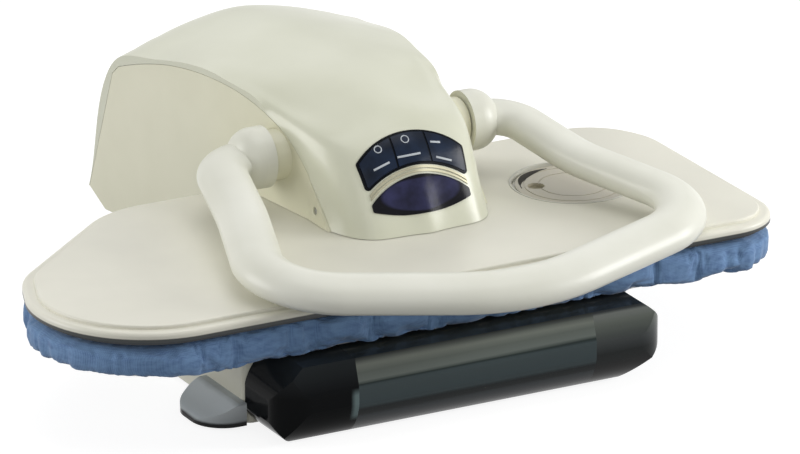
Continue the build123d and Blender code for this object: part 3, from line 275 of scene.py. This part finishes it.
def smoked(name, stops, rough=0.12, shine=0.16, glint_edge=None):
    """Dark opaque plastic that stands for a smoked one: bands of tone by height that are painted reflection
    and painted shade, and faint streaks along it.
    """
    look = Finish(name, rough)
    split = look.add("ShaderNodeSeparateXYZ", vector=look.place)
    height = split.outputs["Z"]
    streaks = look.noise(30, 4, (0.12, 1, 5))
    mixed = look.math("ADD", look.span(height, 0, 1, 0.0, smoked_top), look.span(streaks, -0.03, 0.03))
    tone = look.ramp(mixed, stops)
    if glint_edge:
        near = look.span(split.outputs["X"], 0, 1, *glint_edge)
        shown = look.math("MULTIPLY", near, look.span(height, 0, 1, *glint_rise))
        shown = look.math("MULTIPLY", shown, look.span(height, 1, 0, *glint_fall))
        # Painted highlight: a pale strip near one end, between two heights
        tone = look.blend(shown, tone, (104, 120, 121))
    look.join(tone, "Base Color")
    look.join(look.span(look.noise(60, 3), rough * 0.7, rough * 1.5), "Roughness")
    look.shader.inputs["Specular IOR Level"].default_value = shine
    return look.made


def metal(name, colour, rough=0.3, along=(1, 30, 30)):
    """Bare metal with fine lines left by its rolling or turning."""
    look = Finish(name, rough, 1.0)
    lines = look.noise(60, 4, along)
    look.join(look.ramp(lines, [(0.3, tinted(colour, 0.9)), (0.7, colour)]), "Base Color")
    look.join(look.span(lines, rough * 0.75, rough * 1.3), "Roughness")
    look.relief(lines, 0.00001, 0.4)
    return look.made


def soft_rubber(name, colour, rough=0.7):
    """Rubber or soft hose: dull, with a fine dusty grain."""
    look = Finish(name, rough)
    dusty = look.ramp(look.noise(45, 5), [(0.3, tinted(colour, 0.8)), (0.7, tinted(colour, 1.15))])
    look.join(dusty, "Base Color")
    look.relief(look.noise(1800, 2), 0.00003, 0.5)
    return look.made


def woven(name, colour, shade):
    """Woven cotton: threads across each other, faint slubs, and a soft sheen."""
    look = Finish(name, 0.85)
    weave = look.math("MULTIPLY", look.waves(260, "X", 1.2), look.waves(260, "Z", 1.2))
    weave = look.math("ADD", weave, look.math("MULTIPLY", look.waves(260, "Y", 1.2), 0.5))
    slubs = look.noise(90, 5, (1, 1, 3))
    mixed = look.math("ADD", look.math("MULTIPLY", weave, 0.25), look.math("MULTIPLY", slubs, 0.75))
    look.join(look.ramp(mixed, [(0.25, shade), (0.62, colour)]), "Base Color")
    look.relief(weave, 0.00012, 0.55)
    look.shader.inputs["Sheen Weight"].default_value = 0.25
    look.shader.inputs["Sheen Roughness"].default_value = 0.45
    return look.made


def seen_directly(tree):
    """1 for what the camera, a gloss or a clear piece looks at, and 0 for light that falls on the press."""
    path = tree.nodes.new("ShaderNodeLightPath")
    total = path.outputs["Is Camera Ray"]
    for name in ("Is Glossy Ray", "Is Transmission Ray"):
        both = tree.nodes.new("ShaderNodeMath")
        both.operation = "MAXIMUM"
        tree.links.new(total, both.inputs[0])
        tree.links.new(path.outputs[name], both.inputs[1])
        total = both.outputs[0]
    return total


def dress(material, *names):
    """Gives CAD nodes one finish."""
    for name in names:
        piece = nodes[name]
        piece.data.materials.clear()
        piece.data.materials.append(material)


def start_clean():
    """Leaves nothing selected and no piece in edit mode."""
    if bpy.context.object and bpy.context.object.mode != "OBJECT":
        bpy.ops.object.mode_set(mode="OBJECT")
    bpy.ops.object.select_all(action="DESELECT")


def settle(piece):
    """Moves a piece's place into its mesh and shades it smooth where it is round."""
    start_clean()
    piece.select_set(True)
    bpy.context.view_layer.objects.active = piece
    bpy.ops.object.transform_apply(location=True, rotation=True, scale=True)
    bpy.ops.object.shade_smooth_by_angle(angle=radians(38))
    return piece


def joined(pieces, name):
    """One piece from several."""
    start_clean()
    for piece in pieces:
        piece.select_set(True)
    bpy.context.view_layer.objects.active = pieces[0]
    if len(pieces) > 1:
        bpy.ops.object.join()
    piece = bpy.context.view_layer.objects.active
    piece.name = piece.data.name = name
    return settle(piece)


def finished(piece, material, body):
    """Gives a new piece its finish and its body."""
    piece.data.materials.clear()
    piece.data.materials.append(material)
    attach(piece, body)


def board_outline(step):
    """Points round the board's outline about one step apart, with their outward directions."""
    runs = []
    count = len(board_corners)
    for i, (corner, radius) in enumerate(zip(board_corners, board_radii)):
        here = Vector(corner)
        back = (Vector(board_corners[i - 1]) - here).normalized()
        ahead = (Vector(board_corners[(i + 1) % count]) - here).normalized()
        half = back.angle(ahead) / 2
        centre = here + (back + ahead).normalized() * (radius / sin(half))
        first = here + back * (radius / tan(half)) - centre
        last = here + ahead * (radius / tan(half)) - centre
        runs.append((centre, first, last))
    line = []
    for centre, first, last in runs:
        turn = first.angle_signed(last)
        parts = max(2, round(abs(turn) * first.length / step))
        for k in range(parts + 1):
            spoke = first.copy()
            spoke.rotate(Matrix.Rotation(-turn * k / parts, 2))
            line.append(centre + spoke)
    dense = []
    for i, point in enumerate(line):
        ahead = line[(i + 1) % len(line)]
        parts = max(1, round((ahead - point).length / step))
        dense += [point.lerp(ahead, k / parts) for k in range(parts)]
    outward = []
    for i in range(len(dense)):
        run = dense[(i + 1) % len(dense)] - dense[i - 1]
        outward.append(Vector((run.y, -run.x)).normalized())
    return dense, outward


def gathers(along, seed):
    """Uneven folds of drawn cloth at a place round the hem, from -1 to 1."""
    slow = noise.noise(Vector((along * 11.0, seed, 0.3)))
    wide = max(0.0, 1 - 4.5 * abs(noise.noise(Vector((along * 34.0, seed + 7.0, 0.9)))))
    narrow = max(0.0, 1 - 4.0 * abs(noise.noise(Vector((along * 71.0, seed + 3.0, 0.1)))))
    return 0.3 + 0.4 * slow - 0.85 * wide - 0.45 * narrow


def gathered_share(place):
    """How strongly the cloth is drawn together at a place: most at the nose and the right end."""
    nose = exp(-(((place.x - nose_gather) / nose_reach) ** 2))
    right_end = exp(-(((place.x - end_gather) / end_reach) ** 2))
    return least_gather + (1 - least_gather) * max(nose, right_end)


class PressSizes(bpy.types.PropertyGroup):
    """Sizes that change how the press looks."""

    cloth_swell: bpy.props.FloatProperty(
        name="Cloth swell", description="How far the pad's cloth may stand out from its first form",
        default=0.0028, min=0, max=0.01, unit="LENGTH",
    )
    gather_depth: bpy.props.FloatProperty(
        name="Gather depth", description="Depth of the folds where the cloth is drawn together",
        default=0.0042, min=0, max=0.01, unit="LENGTH",
    )
    column_step: bpy.props.FloatProperty(
        name="Cloth step", description="Distance between the pad's columns round its side",
        default=0.0018, min=0.0015, max=0.01, unit="LENGTH",
    )
    mark_height: bpy.props.FloatProperty(
        name="Mark height", description="How far the marks stand out from the keys",
        default=0.00025, min=0, max=0.001, unit="LENGTH",
    )


class PressColours(bpy.types.PropertyGroup):
    """Colours of the press, from 0 to 255 on a screen."""

    def shade(label, words, value):
        """One colour property."""
        return bpy.props.FloatVectorProperty(
            name=label, description=words, size=3, default=value, min=0, max=255,
        )

    hood: shade("Hood", "Glossy cover over the arm", (214, 215, 196))
    side: shade("Side covers", "Covers on both sides of the arm", (228, 226, 203))
    plate: shade("Plate", "Cover of the heated shoe", (224, 222, 208))
    # The plate edge colour is painted shade under the rim of the shoe's cover
    plate_edge_shade: shade("Plate edge", "Painted shade along the lower edge of the shoe's cover", (34, 38, 38))
    handle: shade("Handle", "Bail handle", (226, 226, 215))
    base: shade("Base", "Body of the base", (228, 226, 212))
    cloth: shade("Cloth", "Cover of the padded board", (112, 146, 186))
    cloth_shade: shade("Cloth shade", "Threads that lie deeper", (84, 113, 156))
    panel: shade("Panel", "Control panel", (20, 29, 44))
    badge: shade("Badge", "Bare badge below the keys", (45, 46, 76))
    silver: shade("Trim", "Thin arcs between keys and badge", (168, 164, 142))


class PRESS_OT_covers(bpy.types.Operator):
    """Finishes the moulded covers, the handle and the lid"""

    bl_idname = "press.covers"
    bl_label = "Covers and handle"

    def execute(self, context):
        tones = context.scene.press_colours
        dress(moulded("glossy hood", tones.hood, 0.3, 0.2), "hood")
        dress(moulded("satin side covers", tones.side, 0.33, 0.15), "side_cover_right", "side_cover_left",
              "arm_inner_cover")
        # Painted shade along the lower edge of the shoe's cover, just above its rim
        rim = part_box("shoe_cover")[0][2]
        low, high = (rim + height for height in painted_shade_band)
        dress(edge_shaded("satin plate", tones.plate, tones.plate_edge_shade, low, high), "shoe_cover")
        dress(moulded("satin handle", tones.handle, 0.36, 0.08, 0.00003), "handle_bow")
        dress(moulded("cam plastic", (228, 228, 222), 0.5), "handle_cams")
        dress(moulded("lid grey", (184, 178, 160), 0.3, 0.2), "filler_lid")
        dress(moulded("tank plastic", (206, 205, 196), 0.35, 0.1), "water_tank")
        dress(moulded("base cream", tones.base, 0.4), "base_shell", "base_floor")
        return {"FINISHED"}


class PRESS_OT_panel(bpy.types.Operator):
    """Finishes the control panel, its keys, the bare badge and the thin arcs"""

    bl_idname = "press.panel"
    bl_label = "Control panel"

    def execute(self, context):
        tones = context.scene.press_colours
        dress(moulded("panel navy", tinted(tones.panel, 0.4), 0.3, warmth=0.9, shine=0.08), "panel_bezel")
        key_box, badge_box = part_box("key_middle"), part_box("badge")
        keys = glossy_navy("key navy", tinted(tones.panel, 1.25), key_box[0][2] * 0.65 + key_box[1][2] * 0.35)
        dress(keys, "key_left", "key_middle", "key_right")
        middle, half = (badge_box[0][2] + badge_box[1][2]) / 2, (badge_box[1][2] - badge_box[0][2]) / 2
        border = (badge_box[1][0] * 0.98, half / sin(front_slope))
        dress(glossy_navy("badge navy", tones.badge, middle, border=border), "badge")
        dress(metal("trim silver", tones.silver, 0.5), "trim_arcs")
        dress(moulded("circuit green", (28, 92, 58), 0.45), "circuit_board")
        dress(soft_rubber("key mat", (196, 196, 190)), "key_mat")
        return {"FINISHED"}


class PRESS_OT_marks(bpy.types.Operator):
    """Puts small plain marks on the keys: rings and bars, without lettering"""

    bl_idname = "press.marks"
    bl_label = "Key marks"

    def execute(self, context):
        proud = context.scene.press_sizes.mark_height
        pale = moulded("key print", (186, 192, 200), 0.45)
        rows = {
            "left": [("ring", -0.0275, 0.0736, 0, 0.0058), ("bar", -0.0285, 0.0596, 15, 0.0150)],
            "middle": [("ring", -0.0030, 0.0777, 0, 0.0062), ("bar", -0.0040, 0.0640, 0, 0.0200)],
            "right": [("bar", 0.0225, 0.0713, -9, 0.0090), ("bar", 0.0262, 0.0568, -20, 0.0140)],
        }
        for side, marks in rows.items():
            made = []
            for kind, across, up, turn, size in marks:
                bpy.ops.object.select_all(action="DESELECT")
                shape = self.ring(size, proud) if kind == "ring" else self.bar(size, proud)
                place, normal = self.spot(nodes["key_" + side], across, up)
                along = normal.cross(Vector((1, 0, 0))).normalized()
                lie = Matrix((along.cross(normal), along, normal)).transposed()
                shape.rotation_euler = (lie @ Matrix.Rotation(radians(turn), 3, "Z")).to_euler()
                shape.location = place
                made.append(shape)
            finished(joined(made, "key_marks_" + side), pale, side + "_key")
        return {"FINISHED"}

    def spot(self, key, across, up):
        """Point and outward direction on a key's face, by its place across and up the sloping front."""
        normal = Vector((0, -sin(front_slope), cos(front_slope)))
        start = front_foot + Vector((across, up * cos(front_slope), up * sin(front_slope))) + normal * 0.02
        hit, place, outward, _ = key.ray_cast(start, -normal)
        if not hit:
            raise RuntimeError("a key mark misses its key")
        return place, outward

    def ring(self, size, proud):
        """Thin flat ring, its round section pressed low."""
        bpy.ops.mesh.primitive_torus_add(
            major_segments=40, minor_segments=10, major_radius=size / 2, minor_radius=ring_section,
        )
        ring = bpy.context.object
        ring.scale.z = proud / ring_section
        return ring

    def bar(self, size, proud):
        """Short bar with rounded corners and a soft top edge."""
        bpy.ops.mesh.primitive_cube_add(size=1)
        bar = bpy.context.object
        bar.scale = (size, bar_width, proud * 2)
        bpy.ops.object.transform_apply(location=False, rotation=False, scale=True)
        round_off = bar.modifiers.new("round", "BEVEL")
        round_off.width, round_off.segments = bar_round, 3
        bpy.ops.object.modifier_apply(modifier="round")
        return bar


class PRESS_OT_lid(bpy.types.Operator):
    """Lays a thin dark crescent on the water lid near its edge, as the shade of its finger recess"""

    bl_idname = "press.lid"
    bl_label = "Lid recess"

    def execute(self, context):
        low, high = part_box("filler_lid")
        middle = Vector(((low[0] + high[0]) / 2, (low[1] + high[1]) / 2, high[2]))
        bpy.ops.object.select_all(action="DESELECT")
        bpy.ops.curve.primitive_bezier_curve_add()
        arc = bpy.context.object
        spline = arc.data.splines[0]
        spline.bezier_points.add(crescent_gaps)
        reach = (high[0] - low[0]) / 2 - crescent_inset
        for k, point in enumerate(spline.bezier_points):
            turn = radians(crescent_from + crescent_step * k)
            point.co = (reach * cos(turn), reach * sin(turn), 0)
            point.handle_left_type = point.handle_right_type = "AUTO"
            point.radius = max(0.12, sin(radians(180 * k / crescent_gaps)))
        arc.data.dimensions = "3D"
        arc.data.bevel_depth = crescent_half
        arc.data.bevel_resolution = 5
        arc.data.use_fill_caps = True
        bpy.ops.object.convert(target="MESH")
        crescent = bpy.context.object
        crescent.scale.z = crescent_flat
        crescent.location = middle
        crescent = joined([crescent], "lid_recess_shade")
        finished(crescent, moulded("recess shade", (46, 43, 36), 0.6, shine=0.15), "lid")
        return {"FINISHED"}


class PRESS_OT_base(bpy.types.Operator):
    """Finishes the smoked front of the base and its side lobes, with painted reflections, shade and
    highlights, and the feet and mains inlet
    """

    bl_idname = "press.base"
    bl_label = "Base front and feet"

    def execute(self, context):
        # Tones by height: the pale bands are painted reflections and the dark ones painted shade; the lobes'
        # bright band is a painted highlight
        window = [(0.13, (52, 56, 60)), (0.24, (44, 51, 55)), (0.28, (12, 20, 22)), (0.35, (14, 22, 24)),
                  (0.39, (52, 64, 67)), (0.64, (60, 71, 73)), (0.67, (34, 44, 43)), (0.71, (102, 109, 104)),
                  (0.80, (94, 100, 94)), (0.88, (114, 119, 111)), (0.94, (66, 70, 67)), (0.98, (22, 25, 25))]
        dark = [(0.20, (3, 4, 4)), (0.26, (12, 13, 14)), (0.36, (22, 26, 26)), (0.46, (24, 28, 28)),
                (0.52, (42, 46, 47)), (0.62, (58, 62, 62)), (0.72, (76, 81, 77)), (0.82, (92, 97, 91)),
                (0.92, (108, 112, 108)), (0.955, (50, 54, 56)), (0.985, (22, 26, 28))]
        near_black = [(0.05, (4, 6, 7)), (0.6, (8, 10, 12)), (0.70, (22, 24, 26)), (0.95, (40, 44, 46))]
        lobe = [(0.07, (10, 12, 12)), (0.10, (170, 176, 178)), (0.28, (206, 212, 214)),
                (0.34, (120, 126, 128)), (0.40, (20, 22, 22)), (0.50, (14, 16, 16))]
        dress(smoked("smoked window", window), "base_window")
        dress(smoked("smoked right end", dark), "base_end_right")
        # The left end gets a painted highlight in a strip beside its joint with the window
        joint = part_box("base_end_left")[1][0]
        edge = (joint - 0.007, joint - 0.003)
        dress(smoked("smoked left end", near_black, shine=0.05, glint_edge=edge), "base_end_left")
        dress(smoked("smoked lobe", lobe), "base_foot_left", "base_foot_right")
        dress(soft_rubber("foot rubber", (26, 26, 26)), "rubber_feet", "lid_seal")
        dress(moulded("inlet black", (28, 28, 30), 0.5), "power_inlet")
        return {"FINISHED"}


class PRESS_OT_metalwork(bpy.types.Operator):
    """Finishes the metal parts, the hoses, the insulation and the pump"""

    bl_idname = "press.metalwork"
    bl_label = "Metalwork and inside"

    def execute(self, context):
        dress(metal("rolled steel", (168, 170, 172), 0.36), "hinge_bracket", "board_tray", "arm_frame")
        dress(metal("bright steel", (196, 197, 199), 0.22, (30, 1, 30)), "hinge_pin", "handle_shaft",
              "counter_springs", "base_screws", "bracket_screws", "frame_screws", "side_screws", "shoe_studs",
              "press_pillars", "thermostat", "heating_element")
        dress(metal("cast aluminium", (184, 186, 188), 0.42, (8, 8, 8)), "steam_block")
        # The heating plate is dark as painted shade of the gap under the shoe's rim
        dress(metal("dark shoe, painted shade", (62, 64, 66), 0.45, (8, 8, 8)), "heating_plate")
        dress(metal("bush brass", (200, 168, 96), 0.3), "arm_bushes", "thermal_fuse")
        dress(soft_rubber("milky hose", (204, 202, 190), 0.5), "suction_hose", "steam_hose")
        dress(moulded("pump black", (30, 30, 33), 0.5), "pump")
        dress(woven("insulation felt", (226, 222, 206), (200, 194, 176)), "insulation_mat")
        return {"FINISHED"}


class PRESS_OT_pad(bpy.types.Operator):
    """Makes the padded board's cloth cover, filled by a short cloth simulation"""

    bl_idname = "press.pad"
    bl_label = "Padded board"

    def execute(self, context):
        sizes, tones = context.scene.press_sizes, context.scene.press_colours
        line, outward = board_outline(sizes.column_step)
        rings = self.rings(line, outward)
        mesh = bpy.data.meshes.new("pad")
        pad = bpy.data.objects.new("pad", mesh)
        context.scene.collection.objects.link(pad)
        points, faces, held = self.skin(rings)
        mesh.from_pydata(points, [], faces)
        mesh.update()
        group = pad.vertex_groups.new(name="held")
        group.add([i for i, still in enumerate(held) if still], 1.0, "REPLACE")
        start = [v.co.copy() for v in mesh.vertices]
        self.fill(context, pad, start, sizes.cloth_swell)
        self.draw_together(pad, line, outward, sizes.gather_depth)
        start_clean()
        pad.select_set(True)
        context.view_layer.objects.active = pad
        bpy.ops.object.shade_smooth()
        finished(pad, woven("pad cloth", tones.cloth, tones.cloth_shade), "base")
        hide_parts("pad_cover", "pad_foam")
        return {"FINISHED"}

    def rings(self, line, outward):
        """Closed rings of points from the middle of the top over the side to the middle below."""

        def ring(height, inset, still):
            places = [(p.x - o.x * inset, p.y - o.y * inset) for p, o in zip(line, outward)]
            return [(Vector((x, y, height)), still) for x, y in places]

        def drawn(source, share, height, still):
            return [(Vector((*(board_middle.xy.lerp(p.xy, share)), height)), still) for p, _ in source]

        edge = ring(pad_top, top_inset, False)
        made = [drawn(edge, share, pad_top, True) for share in (0.08, 0.2, 0.35, 0.5, 0.65, 0.78, 0.88, 0.95)]
        made += [drawn(edge, 0.98, pad_top, False), edge]
        made += [ring(height, inset + cloth_ease, False) for height, inset in reversed(self.side_rows())]
        made += [ring(pad_side[0][0], tray_edge + hem_reach * k / 3, True) for k in range(1, 4)]
        last = ring(hem_top, tray_edge + hem_reach, True)
        made += [last] + [ring(hem_top, tray_edge + hem_reach * k / 3, True) for k in (2, 1, 0)]
        inner = ring(tray_top, tray_edge, True)
        made += [inner] + [drawn(inner, share, tray_top, True) for share in (0.8, 0.5, 0.2)]
        return made

    def side_rows(self):
        """The side's rows, each gap parted in three so that the folds have room."""
        rows = []
        for (low, in_low), (high, in_high) in zip(pad_side, pad_side[1:]):
            for share in (0, 1 / 3, 2 / 3):
                rows.append((low + (high - low) * share, in_low + (in_high - in_low) * share))
        return rows + [pad_side[-1]]

    def skin(self, rings):
        """Points, faces and held marks of the closed skin through the rings."""
        count = len(rings[0])
        points, held = [], []
        for ring in rings:
            points += [p for p, _ in ring]
            held += [still for _, still in ring]
        faces = []
        for r in range(len(rings) - 1):
            for k in range(count):
                after = (k + 1) % count
                faces.append((r * count + k, (r + 1) * count + k, (r + 1) * count + after, r * count + after))
        for r, turned in ((0, False), (len(rings) - 1, True)):
            middle = sum((p for p, _ in rings[r]), Vector()) / count
            points.append(middle)
            held.append(True)
            for k in range(count):
                after = (k + 1) % count
                face = (len(points) - 1, r * count + k, r * count + after)
                faces.append(face[::-1] if turned else face)
        return points, faces, held

    def fill(self, context, pad, start, reach):
        """Blows the cloth up a little, keeps each point near its start and applies the result."""
        cloth = pad.modifiers.new("cloth", "CLOTH")
        settings = cloth.settings
        settings.quality = 5
        settings.mass = 0.25
        settings.use_pressure = True
        settings.uniform_pressure_force = 4
        settings.tension_stiffness = settings.compression_stiffness = 12
        settings.shear_stiffness = 6
        settings.bending_stiffness = 0.4
        settings.shrink_min = -0.06
        settings.vertex_group_mass = "held"
        settings.effector_weights.gravity = 0
        cloth.collision_settings.use_collision = False
        cloth.point_cache.frame_start, cloth.point_cache.frame_end = 1, fill_frames
        for count in range(1, fill_frames + 1):
            context.scene.frame_set(count)
        start_clean()
        pad.select_set(True)
        context.view_layer.objects.active = pad
        bpy.ops.object.modifier_apply(modifier="cloth")
        context.scene.frame_set(1)
        for vertex, first in zip(pad.data.vertices, start):
            moved = vertex.co - first
            if moved.length > reach:
                vertex.co = first + moved.normalized() * reach

    def draw_together(self, pad, line, outward, depth):
        """Presses the gathers of the hem into the side and lets the lower edge run unevenly."""
        count = len(line)
        along = [0.0]
        for i in range(1, count):
            along.append(along[-1] + (line[i] - line[i - 1]).length)
        for vertex in pad.data.vertices[:-2]:
            k = vertex.index % count
            place = vertex.co
            if hypot(place.x - line[k].x, place.y - line[k].y) > fold_band:
                continue
            share = gathered_share(place)
            low = min(1.0, max(0.0, (pad_top - place.z) / (pad_top - pad_side[0][0])))
            fold = gathers(along[k], 2.0)
            reach = depth * share * fold * (0.25 + 0.75 * low) * min(1.0, 4 * (1 - low) + 0.55)
            place.x += outward[k].x * (reach - drawn_in)
            place.y += outward[k].y * (reach - drawn_in)
            if low > ragged_from:
                ragged = (0.0008 + 0.0030 * share) * (0.3 - 0.5 * fold)
                place.z += ragged * (low - ragged_from) / (1 - ragged_from)
        pad.data.update()


class PRESS_OT_stage(bpy.types.Operator):
    """Sets the pale floor, the soft lights and the camera"""

    bl_idname = "press.stage"
    bl_label = "Stage, lights and camera"

    camera_turn: bpy.props.FloatProperty(
        name="Camera turn", description="Angle of the camera round the press", default=radians(-28.3),
        subtype="ANGLE",
    )
    camera_rise: bpy.props.FloatProperty(
        name="Camera rise", description="Angle of the camera above the floor", default=radians(20),
        subtype="ANGLE",
    )
    camera_reach: bpy.props.FloatProperty(
        name="Camera distance", description="Distance of the camera from its target", default=6.0,
        unit="LENGTH",
    )
    lens: bpy.props.FloatProperty(name="Lens", description="Focal length in millimetres", default=341.0)

    def execute(self, context):
        scene = context.scene
        self.floor()
        target = Vector((0, 0, target_height))
        back = Vector((
            sin(self.camera_turn) * cos(self.camera_rise), -cos(self.camera_turn) * cos(self.camera_rise),
            sin(self.camera_rise),
        ))
        bpy.ops.object.camera_add(location=target + back * self.camera_reach)
        camera = context.object
        camera.rotation_euler = (-back).to_track_quat("-Z", "Y").to_euler()
        camera.data.lens = self.lens
        camera.data.sensor_width = 36
        camera.data.clip_end = 60
        scene.camera = camera
        self.lamp("top light", (0.4, 0.1, 3.3), 2.4, 30)
        self.lamp("left light", (-2.8, 1.2, 1.0), 1.8, 46)
        self.lamp("right light", (1.7, -0.95, 0.72), 0.9, 27)
        self.lamp("front light", (-1.2, -2.6, 1.3), 1.8, 10)
        self.lamp("back light", (0.9, 2.2, 2.2), 2.4, 12)
        self.world(scene)
        scene.view_settings.view_transform = "Standard"
        return {"FINISHED"}

    def floor(self):
        """Pale floor that keeps the shadow and is white far away."""
        start_clean()
        bpy.ops.mesh.primitive_circle_add(
            vertices=96, radius=floor_reach, fill_type="NGON", location=(0, 0, -0.0005),
        )
        floor = bpy.context.object
        floor.name = "floor"
        look = Finish("studio floor", 0.9)
        look.shader.inputs["Specular IOR Level"].default_value = 0.0
        look.join(look.ramp(look.noise(2, 2), [(0.3, (140, 140, 140)), (0.7, (143, 143, 143))]), "Base Color")
        look.shader.inputs["Emission Color"].default_value = (1, 1, 1, 1)
        look.join(look.math("MULTIPLY", seen_directly(look.tree), floor_glow), "Emission Strength")
        floor.data.materials.append(look.made)

    def lamp(self, name, place, size, power):
        """Soft square lamp turned towards the press."""
        bpy.ops.object.light_add(type="AREA", location=place)
        lamp = bpy.context.object
        lamp.name = name
        lamp.data.shape = "SQUARE"
        lamp.data.size = size
        lamp.data.energy = power
        lamp.rotation_euler = (Vector((0, 0, 0.1)) - Vector(place)).to_track_quat("-Z", "Y").to_euler()

    def world(self, scene):
        """Even pale light all round, and plain white where the camera, gloss or glass sees past the floor."""
        world = bpy.data.worlds.new("studio")
        scene.world = world
        world.use_nodes = True
        tree = world.node_tree
        shade = tree.nodes["Background"]
        shade.inputs["Color"].default_value = (1, 1, 1, 1)
        shade.inputs["Strength"].default_value = world_light
        white = tree.nodes.new("ShaderNodeBackground")
        white.inputs["Strength"].default_value = 1.0
        mix = tree.nodes.new("ShaderNodeMixShader")
        tree.links.new(seen_directly(tree), mix.inputs[0])
        tree.links.new(shade.outputs[0], mix.inputs[1])
        tree.links.new(white.outputs[0], mix.inputs[2])
        tree.links.new(mix.outputs[0], tree.nodes["World Output"].inputs["Surface"])


class PRESS_PT_panel(bpy.types.Panel):
    """Shows the press's sizes and colours, and a button for each of its steps"""

    bl_idname = "PRESS_PT_panel"
    bl_label = "Steam press"
    bl_space_type = "VIEW_3D"
    bl_region_type = "UI"
    bl_category = "Press"

    def draw(self, context):
        layout = self.layout
        for group in (context.scene.press_sizes, context.scene.press_colours):
            for name in group.bl_rna.properties.keys():
                if name not in ("rna_type", "name"):
                    layout.prop(group, name)
        for operator in operators:
            layout.operator(operator.bl_idname)


operators = (
    PRESS_OT_covers, PRESS_OT_panel, PRESS_OT_marks, PRESS_OT_lid, PRESS_OT_base, PRESS_OT_metalwork,
    PRESS_OT_pad, PRESS_OT_stage,
)
classes = (PressSizes, PressColours, *operators, PRESS_PT_panel)


def register():
    for item in classes:
        bpy.utils.register_class(item)
    bpy.types.Scene.press_sizes = bpy.props.PointerProperty(type=PressSizes)
    bpy.types.Scene.press_colours = bpy.props.PointerProperty(type=PressColours)


def unregister():
    del bpy.types.Scene.press_colours
    del bpy.types.Scene.press_sizes
    for item in reversed(classes):
        bpy.utils.unregister_class(item)


def main():
    register()
    for operator in operators:
        group, name = operator.bl_idname.split(".")
        getattr(getattr(bpy.ops, group), name)()


if __name__ == "__main__":
    main()
